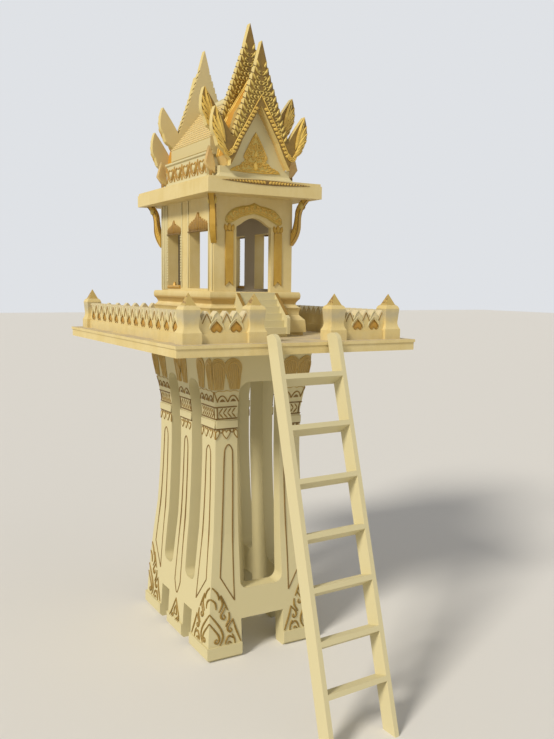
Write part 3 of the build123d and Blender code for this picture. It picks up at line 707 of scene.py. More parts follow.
class LayRoof(bpy.types.Operator):
    """Lay round-ended tiles and a ridge cap on the main roof"""
    bl_idname = "spirit_house.lay_roof"
    bl_label = "Lay roof tiles"

    def execute(self, context):
        carving = context.scene.spirit_house_carving
        rise = (ROOF_RIDGE - ROOF_EAVE).normalized()
        pitch, wide = tile_pitch(), carving.tile_width
        across, rounding = wide * 0.485, wide * 0.22
        outline = [(-across, pitch * 1.25), (across, pitch * 1.25), (across, rounding)]
        outline += [(across * cos(radians(turn)), rounding * (1 - sin(radians(turn))))
                    for turn in range(30, 180, 30)]
        tile = cut_plate("tile", outline + [(-across, rounding)], 0.0042)
        tile.data.transform(Matrix.Rotation(-carving.tile_lift, 4, "X"))
        count = int(2 * ROOF_HALF_LENGTH / wide)
        step = 2 * ROOF_HALF_LENGTH / count
        places = []
        for hand in (-1, 1):
            up = Vector((hand * rise.x, 0, rise.z))
            out = Vector((hand * rise.z, 0, -rise.x))
            foot = Vector((hand * ROOF_EAVE.x, HOUSE_Y - ROOF_HALF_LENGTH, ROOF_EAVE.z))
            for row in range(carving.tile_rows):
                base = foot + up * (row * pitch) + out * 0.0002
                for index in range(count - row % 2):
                    y = (index + 0.5 + 0.5 * (row % 2)) * step
                    places.append(stand_on(base + Vector((0, y, 0)), out, up))
        finish_piece(lay_copies("roof_tiles", tile, places), "tile_paint")

        proud = 0.004
        top, low = ROOF_RIDGE.z + 2 * proud, ROOF_RIDGE.z - ROOF_CAP * rise.z
        side = ROOF_CAP * abs(rise.x)
        half = [(side + proud, low + 2 * proud), (side + proud, low - proud), (side, low - proud)]
        outline = [(0, top)] + half + [(0, ROOF_RIDGE.z - 0.0005)] + mirror_line(half)
        ridge_cap = cut_plate("roof_ridge_cap", outline, 2 * ROOF_HALF_LENGTH, 0.001)
        ridge_cap.data.transform(shift(0, HOUSE_Y + ROOF_HALF_LENGTH, 0))
        finish_piece(ridge_cap, "cream_paint")
        return {"FINISHED"}


class CarveFrieze(bpy.types.Operator):
    """Carve the row of hearts between crossed bands on both long sides of the roof's frieze"""
    bl_idname = "spirit_house.carve_frieze"
    bl_label = "Carve frieze"

    def execute(self, context):
        count, span, low = 5, 0.330, 1.5515
        heart_half = mm((0, 9, 2), (11, 17, 3.4), (20, 29, 4), (19, 41, 3.8), (10, 45.5, 3),
                        (0, 37, 1.8))
        cross = mm((33, 52, 2.4), (29, 40, 3.6), (25, 24, 3.8), (16, 9, 3.4), (4, 2, 2))
        foot = mm((33, 1, 3), (28.5, 9, 3.4), (32, 20, 2))
        bud = carve_relief("bud", pointed_oval(0.021, 0.020, 12, 0.60, 0.3), 0.0042, 0.0024)
        bands, buds = [], []
        for hand in (-1, 1):
            for index in range(count):
                y = HOUSE_Y - span / 2 + (index + 0.5) * span / count
                buds.append(stand_on((hand * WALL_X, y, low + 0.018), (hand, 0, 0)))
                bands += [[(Vector((hand * WALL_X, y + lean * a, low + b)), width)
                           for a, b, width in line]
                          for lean in (-1, 1) for line in (heart_half, cross, foot)]
        finish_piece(lay_copies("frieze_buds", bud, buds), "cream_paint")
        finish_piece(draw_strokes("frieze_bands", bands), "frieze_paint")
        return {"FINISHED"}


# Gable boards

def board_teeth():
    """Tips and notches of the outer edge of a gable board's right half, as the cast board has."""
    mean = (BOARD_VALLEY - BOARD_BLADE).length / BOARD_TEETH
    travelled = 0.0
    teeth = []
    tip = BOARD_BLADE
    for index in range(BOARD_TEETH):
        travelled += mean * (1 + 0.22 * (1 - 2 * index / (BOARD_TEETH - 1)))
        on_line = BOARD_BLADE + BOARD_ALONG * travelled
        teeth.append((tip, on_line + BOARD_INWARD * 0.005))
        tip = on_line - BOARD_ALONG * 0.004
    return teeth


def inner_edge(z, offset=0.0):
    """Half width of the gable opening at a height, moved outwards. It bends at its knee."""
    knee_x, knee_z, top = 0.065, 1.648, 1.758
    if z < knee_z:
        x = knee_x + (knee_z - z) * (0.041 / 0.081)
    else:
        x = knee_x * (top - z) / (top - knee_z)
    return x + offset / cos(radians(30.6))


def tooth_flame(tip):
    """Flame that starts inside a board and ends at a tooth's tip."""
    reach = min(0.0185, tip.x - 0.003)
    return [(*(tip + BOARD_INWARD * (reach * a) + BOARD_ALONG * (0.016 * b)), 0.0046 * c)
            for a, b, c in ((1.0, 1.0, 0.45), (0.72, 0.80, 1.0), (0.34, 0.36, 0.85),
                            (0.04, 0.02, 0.16))]


def board_curls():
    """Curls in rows over a board's right half, between its inner and outer edge."""
    curl = mm((-4, -6.8, 1.2), (3, -4.9, 2.8), (5, 1.9, 3), (-0.5, 5.4, 2.2), (-3.2, 1.6, 1.1))
    curls = []
    z = 1.886
    while z > 1.640:
        inner = inner_edge(z, 0.0175) if z < 1.789 else 0.0
        x = BOARD_BLADE.x + (BOARD_BLADE.y - z) * 0.356 - 0.024
        while x > inner + 0.001:
            curls.append(moved(curl, x, z))
            x -= 0.0125
        z -= 0.0150
    return curls


# Feathers of a wing: root, tip and width, in millimetres. The first is its inner blade
WING_FEATHERS = (((125, 1634), (157.5, 1739.5), 17), ((140, 1664), (166.5, 1712), 15),
                 ((134, 1646), (169, 1690), 15.5), ((128.5, 1631), (167, 1668), 15),
                 ((122.5, 1619), (159, 1650), 14), ((117, 1610), (152, 1633.5), 13))
FEATHER_TALL = 0.050
FEATHER_WIDE = 0.015


def feather_place(root, tip, wide):
    """Matrix that lays the modelled feather from its root to its tip."""
    root, tip, (wide,) = mm(root, tip, (wide,))
    reach = Vector((tip[0] - root[0], tip[1] - root[1]))
    stretch = Matrix.Diagonal((wide / FEATHER_WIDE, 1, reach.length / FEATHER_TALL, 1))
    return flat_turn(-atan2(reach.x, reach.y), *root) @ stretch


class DressBoards(bpy.types.Operator):
    """Carve the gable boards: slanted flames, curls, a ridge, scales and feathered wings"""
    bl_idname = "spirit_house.dress_boards"
    bl_label = "Carve gable boards"

    def execute(self, context):
        scale = carve_relief("scale", pointed_oval(0.010, 0.015, 8, 0.5), 0.0038, 0.0016)
        feather = carve_relief("feather", pointed_oval(FEATHER_WIDE, FEATHER_TALL, 12, 0.45, 0.3),
                               0.0052, 0.0030)
        flames, curls, ridges, roots, notch_shades, feathers, scales = [], [], [], [], [], [], []
        ridge = [(max(0.0, inner_edge(z, 0.0158)), z, 0.0019)
                 for z in (1.789, 1.740, 1.690, 1.650, 1.620, 1.600)]
        arcs = [[(0.1125 + radius * cos(radians(turn)), 1.6120 + radius * sin(radians(turn)),
                  0.0021) for turn in (150, 200, 245, 290, 330, 370)]
                for radius in (0.0065, 0.0118, 0.0170)]
        for lift, face_y in BOARDS:
            for hand in (-1, 1):
                for tip, notch in board_teeth():
                    flames.append(upright(tooth_flame(tip), face_y - 0.0005, hand, lift))
                    # Dark strokes sunk into each notch between two teeth: painted shade of the
                    # gaps
                    notch_shade = []
                    for depth, rise in mm((0, 4.5), (10.5, 9), (21.2, 13.5)):
                        spot = notch.lerp(tip, rise / (tip - notch).length)
                        notch_shade += upright([(*spot, 0.0017)], face_y + depth, hand, lift)
                    notch_shades.append(notch_shade)
                curls += [upright(curl, face_y - 0.0005, hand, lift) for curl in board_curls()]
                ridges.append(upright(ridge, face_y - 0.001, hand, lift))
                roots += [upright(arc, face_y - 0.0012, hand, lift) for arc in arcs]
                turned = FLIP_X if hand < 0 else Matrix.Identity(4)
                feathers += [shift(0, face_y - 0.0003, lift) @ turned @ feather_place(*leaf)
                             for leaf in WING_FEATHERS]
            z = 1.748
            while z > 1.600:
                x = inner_edge(z, 0.0072) - 0.005
                scales += [shift(0, face_y, 0) @ flat_turn(radians(hand * -93), hand * x, z + lift)
                           for hand in (1, -1)]
                z -= 0.0115
        finish_both(lay_copies("board_scales", scale, scales), "bright_gold_paint")
        finish_both(lay_copies("wing_feathers", feather, feathers), "bright_gold_paint")
        for name, lines, finish in (("board_flames", flames, "gold_paint"),
                                    ("board_curls", curls, "gold_paint"),
                                    ("board_ridges", ridges, "bright_gold_paint"),
                                    ("wing_roots", roots, "bright_gold_paint"),
                                    ("board_notch_shades", notch_shades, "notch_shade_paint")):
            finish_both(draw_strokes(name, lines), finish)

        fin = cut_plate("fin", mm((152, 1631), (167, 1578), (150, 1556), (132, 1546),
                                  (132, 1574), (140, 1604)), 0.017, 0.002)
        fin_y = shift(0, HOUSE_Y - 0.196, 0)
        finish_both(lay_copies("wing_fins", fin, [fin_y, FLIP_X @ fin_y]), "fin_paint")
        leaf = carve_relief("fin_leaf", pointed_oval(0.020, 0.034), 0.005, 0.002)
        places = [stand_on((hand * 0.1435, HOUSE_Y - 0.205, 1.534), (hand, 0, 0))
                  for hand in (-1, 1)]
        finish_both(lay_copies("fin_leaves", leaf, places), "crown_paint")
        return {"FINISHED"}


def pediment_lines():
    """Strokes on a pediment's right half: a border of flames, curls, leaves and two edges."""
    lines = []
    for index in range(11):
        t = index / 10
        x, z, size = 0.001 + 0.0335 * t ** 0.9, 1.669 - 0.066 * t, 0.85 + 0.45 * t
        flame = moved(mm((3.5, -3.5, 2.5), (5, 2.5, 2.2), (2.5, 8.5, 0.6)), x, z, size)
        lines.append([(x - 0.0015, z - 0.0065 * size, 0.0013)] + flame)
    for index in range(7):
        t = index / 6
        lines.append(moved(mm((3, 0, 1.2), (7.5, 3, 2.4), (8, 9, 1.8), (4.5, 12, 0.6)),
                           0.030 - 0.006 * t * index / 3, 1.600 - 0.022 * t))
    for *sizes, start, turn in (
            (10.5, 1633, 7.5, 2.2, 110, -1), (16.5, 1615, 8.5, 2.4, 140, -1),
            (9.5, 1599, 8, 2.3, 40, 1), (26.5, 1598.5, 7.5, 2.2, 150, -1),
            (14, 1579, 9, 2.6, 150, -1), (33.5, 1576, 8.5, 2.5, 150, -1),
            (51.5, 1570.5, 7.5, 2.2, 150, -1), (66, 1567, 5.8, 1.8, 150, -1),
            (78, 1563.5, 4.2, 1.4, 150, -1)):
        x, z, radius, wide = mm(sizes)[0]
        curl = spiral(x, z, radius, 1.15, start, turn, 8)
        lines.append([(a, b, wide * (1.1 - 0.07 * index)) for index, (a, b) in enumerate(curl)])
    for x, z, size in ((0.0050, 1.5640, 1.0), (0.0240, 1.5610, 1.1), (0.0430, 1.5600, 1.0),
                       (0.0590, 1.5590, 0.8), (0.0235, 1.5860, 0.9), (0.0420, 1.5820, 0.8)):
        lines.append(moved(mm((-5, 0, 1), (0, 4, 2.2), (7, 2, 2), (11, -2, 0.6)), x, z, size))
    lines.append(mm((0, 1556.5, 1.6), (30, 1556, 1.8), (60, 1557.5, 1.4), (88, 1560.5, 0.7)))
    lines.append(mm((0, 1647, 2), (6, 1640, 2.6), (4, 1628, 2), (0, 1623, 1.2)))
    return [[(x, z, width * 1.25) for x, z, width in line] for line in lines]


class CarvePediments(bpy.types.Operator):
    """Carve the flame of scrolls on both pediments"""
    bl_idname = "spirit_house.carve_pediments"
    bl_label = "Carve pediments"

    def execute(self, context):
        face = shift(0, PEDIMENT_FACE, 0)
        flame = mm((90, 1556), (86, 1564), (72, 1570.5), (58, 1576), (46, 1583), (39, 1593),
                   (39.5, 1603), (36, 1615), (29, 1629), (21, 1643), (13, 1657), (6, 1670))
        ground = cut_plate("pediment_ground", flame + [(0.0, 1.6830)] + mirror_line(flame),
                           0.0016, 0.0004)
        ground.data.transform(face)
        leaf = carve_relief("leaf", pointed_oval(0.0135, 0.026), 0.005, 0.0018)
        leaves = lay_copies("pediment_leaves", leaf,
                            [face @ flat_turn(0, 0, z, size) for z, size in (
                                (1.6620, 0.72), (1.6030, 0.85), (1.5600, 1.3))])
        strokes = [upright(line, PEDIMENT_FACE - 0.0016, hand)
                   for hand in (-1, 1) for line in pediment_lines()]
        finish_both(ground, "gold_paint")
        finish_both(leaves, "bright_gold_paint")
        finish_both(draw_strokes("pediment_scrolls", strokes, 2), "pediment_paint")
        return {"FINISHED"}


class TrimPorches(bpy.types.Operator):
    """Lay gilded strips on the porch roofs and the lens of leaves on the eave's ends"""
    bl_idname = "spirit_house.trim_porches"
    bl_label = "Trim porches and eave"

    def execute(self, context):
        slope = mm((116.5, 1601), (104, 1672.5), (85.5, 1732), (2, 1853))
        strips = [upright([(x, z, width) for x, z in slope], HOUSE_Y + y, hand)
                  for hand in (-1, 1) for y, width in mm((-189, 2.6), (-203, 2.2))]
        finish_both(draw_strokes("porch_strips", strips, 6, 2), "bright_gold_paint")

        lens_z = 1.516
        lens_y = HOUSE_Y - 0.307
        shares = [index / 6 - 1 for index in range(13)]
        arc = [(0.157 * t, 0.0075 * (1 - t * t)) for t in shares]
        plate = cut_plate("eave_lens", arc + [(x, -z) for x, z in reversed(arc[1:-1])],
                          0.0045, 0.0008)
        plate.data.transform(shift(0, lens_y, lens_z))
        finish_both(plate, "line_paint")
        petal = carve_relief("petal", pointed_oval(0.0085, 0.0135, 8, 0.45), 0.0035, 0.001)
        places = []
        for index in range(14):
            t = (index + 0.5) / 14
            size = max(0.25, 1 - t * t)
            places += [shift(0, lens_y - 0.004, lens_z)
                       @ flat_turn(hand * radians(-52), hand * 0.150 * t, -0.0035 * size, size)
                       for hand in (-1, 1)]
        finish_both(lay_copies("eave_lens_petals", petal, places), "pediment_paint")
        return {"FINISHED"}


# Windows of a long side: distance of their middle from the house's, and size of their crown
WINDOWS = ((-0.105, 1.0), (0.103, 0.78))
CROWN_FOOT = 1.372
BEAD_LOW = 1.208
BEAD_STEP = 0.0093
SILL_X = 0.141
FLUTE_TOP = 1.476


class DressWalls(bpy.types.Operator):
    """Add the window crowns, sills and beads and the flutes of the long walls"""
    bl_idname = "spirit_house.dress_walls"
    bl_label = "Dress long walls"

    def execute(self, context):
        half = mm((68.4, 0), (71.1, 7.2), (65.7, 16.2), (55.8, 24.3), (43.2, 30.6), (30.6, 35.1),
                  (18, 39.6), (7.2, 45))
        crown = carve_relief("crown", half + [(0, 0.0522)] + mirror_line(half), 0.004, 0.002)
        lobe = carve_relief("lobe", pointed_oval(0.026, 0.060, 14, 0.42, 0.5), 0.0090, 0.0030)
        bead = carve_relief("bead", pointed_oval(0.006, 0.009, 8, 0.5, 0.3), 0.004, 0.001)
        # A crown's fan: distance of a lobe from the middle, its height and its lean in degrees
        fan = ((0.0, 1.0, 0), (0.0170, 0.74, 3), (0.0320, 0.64, 6), (0.0465, 0.57, 10),
               (0.0590, 0.50, 15), (0.0690, 0.40, 22))
        vein = mm((0, 10, 0.8), (0, 24, 1.4), (1, 42, 0.6))
        far_window = HOUSE_Y + WINDOWS[1][0]
        crowns, lobes, veins, beads, sills = [], [], [], [], []
        for hand in (-1, 1):
            out = (hand, 0, 0)
            for middle, size in WINDOWS:
                wall = stand_on((hand * WALL_X, HOUSE_Y + middle, CROWN_FOOT), out)
                crowns.append(wall @ Matrix.Scale(size, 4))
                for x, tall, lean in fan:
                    for side in ((-1, 1) if x else (1,)):
                        lobes.append(wall @ flat_turn(-side * radians(lean), side * x * size,
                                                      0.002 * size, tall * size))
                        veins.append([(wall @ Vector((side * (x + a * tall) * size,
                                                      -0.0086 * size * tall, b * tall * size)),
                                       width) for a, b, width in vein])
                veins.append([(wall @ Vector((x * size, -0.004 * size, 0.001)), 0.0032 * size)
                              for x in (-0.076, 0.0, 0.076)])
            beads += [stand_on((hand * WALL_X, far_window + y, BEAD_LOW + index * BEAD_STEP), out)
                      for y in (-0.060, 0.060) for index in range(17)]
            sills.append([(Vector((hand * SILL_X, far_window + y, 1.191)), 0.0065)
                          for y in (-0.056, -0.020, 0.020, 0.056)])
            sills.append([(Vector((hand * SILL_X, far_window, z)), width)
                          for z, width in mm((1194, 8.5), (1202, 7), (1209, 1.5))])
        finish_piece(lay_copies("window_crowns", crown, crowns), "line_paint")
        finish_piece(lay_copies("window_crown_lobes", lobe, lobes), "crown_paint")
        finish_piece(draw_strokes("window_crown_veins", veins), "line_paint")
        finish_piece(lay_copies("window_beads", bead, beads), "cream_paint")
        finish_piece(draw_strokes("window_sill_rolls", sills, 3, 3), "amber_paint")

        # Flutes: foot's height, width and distances from the house's middle
        flutes = ((1.182, 0.0105, (0.168, 0.184, 0.200, 0.216)),
                  (1.189, 0.0060, (-0.022, 0.034)), (1.182, 0.0050, (-0.186, -0.214)))
        strips = []
        for hand in (-1, 1):
            for low, wide, distances in flutes:
                for y in distances:
                    strip = cut_plate("strip", oblong(wide, FLUTE_TOP - low), 0.0030, 0.0011)
                    strip.data.transform(stand_on((hand * WALL_X, HOUSE_Y + y, low),
                                                  (hand, 0, 0)))
                    strips.append(strip)
        finish_piece(join_pieces("wall_flutes", strips), "cream_paint")
        return {"FINISHED"}


class DressDoorways(bpy.types.Operator):
    """Carve the arches over both doorways and hang the gilded strips beside them"""
    bl_idname = "spirit_house.dress_doorways"
    bl_label = "Dress doorways"

    def execute(self, context):
        carving = context.scene.spirit_house_carving
        face_y = HOUSE_Y - WALL_Y
        face = shift(0, face_y, 0)
        half = mm((0, 1427.5), (20, 1422.5), (45, 1415.5), (70, 1402), (84, 1395), (97, 1394),
                  (103, 1401), (101, 1413), (90, 1428), (76, 1439), (61, 1445.5), (44, 1450),
                  (26, 1452), (10, 1457))
        arch = carve_relief("door_arch", half + [(0.0, 1.4620)] + mirror_line(half[1:]),
                            0.006, 0.003)
        arch.data.transform(face)
        strokes = []
        for hand in (-1, 1):
            for *sizes, start in ((90, 1409, 8.5, 200), (72, 1424, 10, 160), (51, 1433, 10, 140),
                                  (30, 1438, 9.5, 130), (10, 1443, 8, 120)):
                curl = spiral(*mm(sizes)[0], 1.2, start, -1)
                last = len(curl) - 1
                strokes.append(upright([(x, z, carving.scroll * (0.9 - 0.45 * index / last))
                                        for index, (x, z) in enumerate(curl)],
                                       face_y - 0.0056, hand))
            for low in (0, 6):
                wave = mm((98, 1400), (80, 1402 + low), (60, 1414 + low), (35, 1424 + low),
                          (12, 1430 + low), (0, 1434.5 + low))
                strokes.append(upright([(x, z, carving.line) for x, z in wave],
                                       face_y - 0.0052, hand))
        strip_x = 0.0885
        strip = cut_plate("strip", mm((-14.25, 0), (0, 14), (14.25, 0), (14.25, 172),
                                      (-14.25, 172)), 0.0040, 0.0010)
        petal = carve_relief("petal", pointed_oval(0.0125, 0.024, 10, 0.45), 0.005, 0.0016)
        strips = [face @ flat_turn(0, hand * strip_x, 1.197) for hand in (-1, 1)]
        capitals = [face @ flat_turn(-step * radians(14), hand * strip_x + step * 0.0095, 1.368,
                                     1.0 if step else 1.15)
                    for hand in (-1, 1) for step in (-1, 0, 1)]
        finish_both(arch, "gold_paint")
        finish_both(draw_strokes("door_arch_scrolls", strokes), "pediment_paint")
        finish_both(lay_copies("door_strips", strip, strips), "strip_paint")
        finish_both(lay_copies("door_capitals", petal, capitals), "strip_paint")
        return {"FINISHED"}


# Balustrade: the panels' distances from the deck's middle, and the right half of a heart,
# from its notch to its tip
PARAPET_X = 0.342
PARAPET_Y = 0.455
FRONT_PANEL_X = 0.240
HEART_FOOT = 0.030
PARAPET_HEART = mm((0, 7.392), (5.17, 1.94), (9.87, 1), (15.51, 4.76), (17.86, 10.588),
                   (15.51, 16.04), (8.93, 23.09), (3.76, 28.26), (0, 31.96))


def panel_spots(pitch, count):
    """Middles of the hearts and of the crests between them, along a balustrade panel."""
    return ([step * pitch for step in range(-count, count + 1, 2)],
            [step * pitch for step in range(-count - 1, count + 2, 2)])


class DressParapets(bpy.types.Operator):
    """Set gilded hearts, petal ribs and chevrons on the balustrade and gild the stair cheeks"""
    bl_idname = "spirit_house.dress_parapets"
    bl_label = "Dress balustrade"

    def execute(self, context):
        line = context.scene.spirit_house_carving.line * 0.65
        heart = carve_relief("heart", PARAPET_HEART + mirror_line(PARAPET_HEART[1:-1]),
                             0.0026, 0.0024)
        side = panel_spots(0.852 / 26, 12)
        front = ([-0.0215, 0.0395], [-0.0520, 0.0090, 0.0700])
        # Of each panel: its outer face's middle, where it looks, half its length, its spots
        runs = (((-PARAPET_X, 0.0), (-1, 0, 0), 0.426, side),
                ((PARAPET_X, 0.0), (1, 0, 0), 0.426, side),
                ((0.0, PARAPET_Y), (0, 1, 0), 0.313, panel_spots(0.626 / 18, 8)),
                ((-FRONT_PANEL_X, -PARAPET_Y), (0, -1, 0), 0.073, front),
                ((FRONT_PANEL_X, -PARAPET_Y), (0, -1, 0), 0.073, front))
        rim = [(x, z + HEART_FOOT, 0.0011) for x, z in PARAPET_HEART]
        rib = mm((22.5, 40, 1), (21.5, 47, 2), (16.5, 56, 2.2), (9, 63, 2), (1.5, 70, 1.4))
        crest = mm((0, 88, 1.8), (7, 82, 1.8), (13, 70, 1.8), (16.5, 62, 1.8))
        chevron = [(x, z, line) for x, z in mm((0, 83.5), (6.5, 71.5), (13.5, 56))]
        hearts, rims, ribs, chevrons = [], [], [], []
        for (x, y), out, end, (heart_spots, crest_spots) in runs:
            panel = stand_on((x, DECK_Y + y, DECK_TOP), out)

            def on_panel(drawn, middle, hand, proud, panel=panel, end=end):
                """Stroke on a panel, without the places that lie past its end."""
                return [(panel @ Vector((middle + hand * a, -proud, b)), width)
                        for a, b, width in drawn if abs(middle + hand * a) < end]

            for middle in heart_spots:
                hearts.append(panel @ shift(middle, -0.0091, HEART_FOOT))
                for hand in (-1, 1):
                    rims.append(on_panel(rim, middle, hand, 0.0132))
                    ribs += [on_panel(drawn, middle, hand, 0.0134) for drawn in (rib, crest)]
            chevrons += [on_panel(chevron, middle, hand, 0.0136)
                         for middle in crest_spots for hand in (-1, 1)]
        ribs = [drawn for drawn in ribs if len(drawn) > 2]
        chevrons = [drawn for drawn in chevrons if len(drawn) > 1]
        finish_piece(lay_copies("parapet_hearts", heart, hearts), "heart_paint")
        finish_piece(draw_strokes("parapet_heart_rims", rims, 2), "cheek_paint")
        finish_piece(draw_strokes("parapet_ribs", ribs), "cream_paint")
        finish_piece(draw_strokes("parapet_chevrons", chevrons, 2), "cheek_paint")

        cheeks = []
        for hand in (-1, 1):
            low = Vector((hand * 0.0695, HOUSE_Y - 0.3225, 1.1064))
            rise = Vector((0, 0.0725, 0.0668))
            plate = cut_plate("plate", oblong(0.0104, rise.length), 0.0022, 0.0006)
            plate.data.transform(stand_on(low, Vector((0, -rise.z, rise.y)), rise))
            cheeks.append(plate)
        finish_piece(join_pieces("stair_cheek_gilding", cheeks), "cheek_paint")
        return {"FINISHED"}


# Pedestal faces: the flare is the same all round, so one profile gives every face.
# Each side: along it, out of it, and the foot's half sizes across and along
HALF_LONG = 0.283
HALF_WIDE = 0.203
SIDES = {
    "front": (Vector((1, 0, 0)), Vector((0, -1, 0)), HALF_LONG, HALF_WIDE),
    "right": (Vector((0, 1, 0)), Vector((1, 0, 0)), HALF_WIDE, HALF_LONG),
    "back": (Vector((-1, 0, 0)), Vector((0, 1, 0)), HALF_LONG, HALF_WIDE),
    "left": (Vector((0, -1, 0)), Vector((-1, 0, 0)), HALF_WIDE, HALF_LONG),
}
NARROW_SIDES = ("front", "back")
# Faces that are carved: a side, and the hand of the corner, or zero for the side's middle leg
CORNER_FACES = [(side, hand) for side in SIDES for hand in (-1, 1)]
MIDDLE_FACES = [("left", 0), ("right", 0)]
PROFILE_NODES = ("pedestal_leg_front_right", "pedestal_head")
PROFILE_Y = -0.18


def inset_at(z):
    """How far the pedestal's outer face stands in from the foot at a height."""
    start = Vector((1.0, DECK_Y + PROFILE_Y, z))
    for name in PROFILE_NODES:
        found, place, _, _ = NODES[name].ray_cast(start, Vector((-1, 0, 0)))
        if found:
            return HALF_WIDE - place.x
    raise RuntimeError("the pedestal has no face at %.3f m" % z)


def face_point(side, hand, x, z, out=0.0):
    """Place on a pedestal face: X runs from the corner's arris, or from the side's middle."""
    direction, outward, half_across, half_along = SIDES[side]
    inset = inset_at(z)
    if hand:
        x = hand * (half_along - inset - x)
    return Vector((0, DECK_Y, z)) + direction * x + outward * (half_across - inset + out)


def on_face(drawn, side, hand, out):
    """A drawn stroke put on a pedestal face."""
    return [(face_point(side, hand, x, z, out), width) for x, z, width in drawn]


def bend(piece, side, hand):
    """Bend a flat-drawn piece onto a pedestal face."""
    for vertex in piece.data.vertices:
        x, y, z = vertex.co
        vertex.co = face_point(side, hand, x, z, -y)
    if hand > 0:
        piece.data.flip_normals()
    return piece


# Pedestal head: heights of the petals, and of their sides the share of height and of width
PETAL_LOW = 0.871
PETAL_HIGH = 0.972
PETAL_SIDE = ((0.0, 0.52), (0.25, 0.66), (0.5, 0.84), (0.72, 1.0), (0.86, 0.86), (0.95, 0.50))


def petal_outline(middle, wide, low, high):
    """Petal that widens upwards to a rounded point, from its right foot over its top."""
    half = [(wide / 2 * share, low + (high - low) * t) for t, share in PETAL_SIDE]
    return [(middle + x, z) for x, z in half + [(0, high)] + mirror_line(half)]


def carve_petal(side, hand, middle, wide):
    """Ground of one tall petal, bent onto its face. At a corner it stops at the arris."""
    outline = petal_outline(middle, wide, PETAL_LOW, PETAL_HIGH)
    if hand:
        outline = [(max(0.0, x), z) for x, z in outline]
    return bend(carve_relief("petal", outline, 0.0042, 0.0030), side, hand)


def petal_rims(side, hand, middle, wide):
    """Outer and inner rim of a petal."""
    rims = []
    for shrink, out in ((1.0, 0.0022), (0.66, 0.0046)):
        rim = petal_outline(middle, wide * shrink, PETAL_LOW + 0.002,
                            PETAL_HIGH - 0.036 * (1 - shrink))
        rims.append(on_face([(x, z, 0.0017) for x, z in rim if x >= 0.0 or not hand],
                            side, hand, out))
    return rims


def petal_flutes(side, hand, middle, wide):
    """Four grooves that fan out over a petal."""
    flutes = []
    for share in (-0.42, -0.14, 0.14, 0.42):
        x, foot = middle + wide * 0.5 * share, middle + wide * 0.26 * share
        path = ((max(0.0, foot), 0.004, 0.0040, 0.0009),
                (max(0.0, (x + foot) / 2), 0.036, 0.0046, 0.0013),
                (x, 0.070, 0.0046, 0.0012), (x * 0.7 + middle * 0.3, 0.086, 0.0044, 0.0007))
        flutes.append([(face_point(side, hand, a, PETAL_LOW + rise, out), width)
                       for a, rise, out, width in path])
    return flutes


class CarveHead(bpy.types.Operator):
    """Carve the lotus petals under the deck"""
    bl_idname = "spirit_house.carve_head"
    bl_label = "Carve lotus petals"

    def execute(self, context):
        grounds, rims, flutes, arches, crescents = [], [], [], [], []
        bow = ((-1, 0.8315), (-0.8, 0.8415), (-0.3, 0.8515), (0.3, 0.8515), (0.8, 0.8415),
               (1, 0.8315))
        hollow = ((-0.58, 0.8320), (-0.3, 0.8390), (0, 0.8415), (0.3, 0.8390), (0.58, 0.8320))
        for side, hand in CORNER_FACES + MIDDLE_FACES:
            narrow = side in NARROW_SIDES
            reach = 0.093 if narrow else 0.118
            if hand:
                petals = ((0.017, 0.058), (0.0165 + reach * 0.60, 0.060))
                start, end, count = (0.008, 0.084, 2) if narrow else (0.008, 0.109, 3)
                step = (end - start) / count
                spans = [(start + index * step + 0.0012, start + (index + 1) * step - 0.0012)
                         for index in range(count)]
            else:
                petals = ((-0.0265, 0.050), (0.0265, 0.050))
                spans = ((-0.045, -0.001), (0.001, 0.045))
            for middle, wide in petals:
                grounds.append(carve_petal(side, hand, middle, wide))
                rims += petal_rims(side, hand, middle, wide)
                flutes += petal_flutes(side, hand, middle, wide)
            for left, right in spans:
                middle, half = (left + right) / 2, (right - left) / 2
                arches.append(on_face([(middle + half * a, z, 0.0021) for a, z in bow],
                                      side, hand, 0.0006))
                crescent = carve_relief("crescent", [(middle + half * a, z) for a, z in hollow],
                                        0.0016, 0.0012)
                crescents.append(bend(crescent, side, hand))
            if hand:
                arches.append(on_face(mm((0, 866, 1.9), (4, 852, 1.9), (9, 834, 1.9)),
                                      side, hand, 0.0006))
                flutes.append(on_face([(0.004 + index * (reach - 0.012) / 6,
                                        0.871 if index % 2 else 0.863, 0.0012)
                                       for index in range(7)], side, hand, 0.0010))
        finish_piece(join_pieces("lotus_petals", grounds), "petal_paint")
        finish_piece(draw_strokes("lotus_petal_rims", rims, 2), "petal_rim_paint")
        finish_piece(draw_strokes("lotus_petal_flutes", flutes, 2), "petal_rim_paint")
        finish_piece(draw_strokes("small_arches", arches), "cheek_paint")
        finish_piece(join_pieces("small_arch_hollows", crescents), "line_paint")
        return {"FINISHED"}


# Long panel on a leg's face: the sides with the round top, and the foot
PANELS = {
    "middle": (mm((-23.5, 178), (-20, 300), (-17.5, 450), (-16.5, 640), (-13.5, 672), (0, 688),
                  (13.5, 672), (16.5, 640), (17.5, 450), (20, 300), (23.5, 178)),
               mm((-23.5, 178), (-12, 150), (0, 131), (12, 150), (23.5, 178))),
    "narrow": (mm((31.5, 268), (30, 390), (29.5, 520), (30.5, 665), (33, 681), (45.5, 697),
                  (58.5, 679), (60.5, 665), (64, 520), (68, 390), (77, 283), (86, 188)),
               mm((31.5, 268), (58, 229), (86, 188))),
    "wide": (mm((36, 256), (34, 390), (33, 520), (34.5, 655), (37, 674), (51.5, 690),
                (66.5, 672), (69, 655), (74, 520), (82, 390), (94, 283), (108, 174)),
             mm((36, 256), (71, 216), (108, 174))),
}
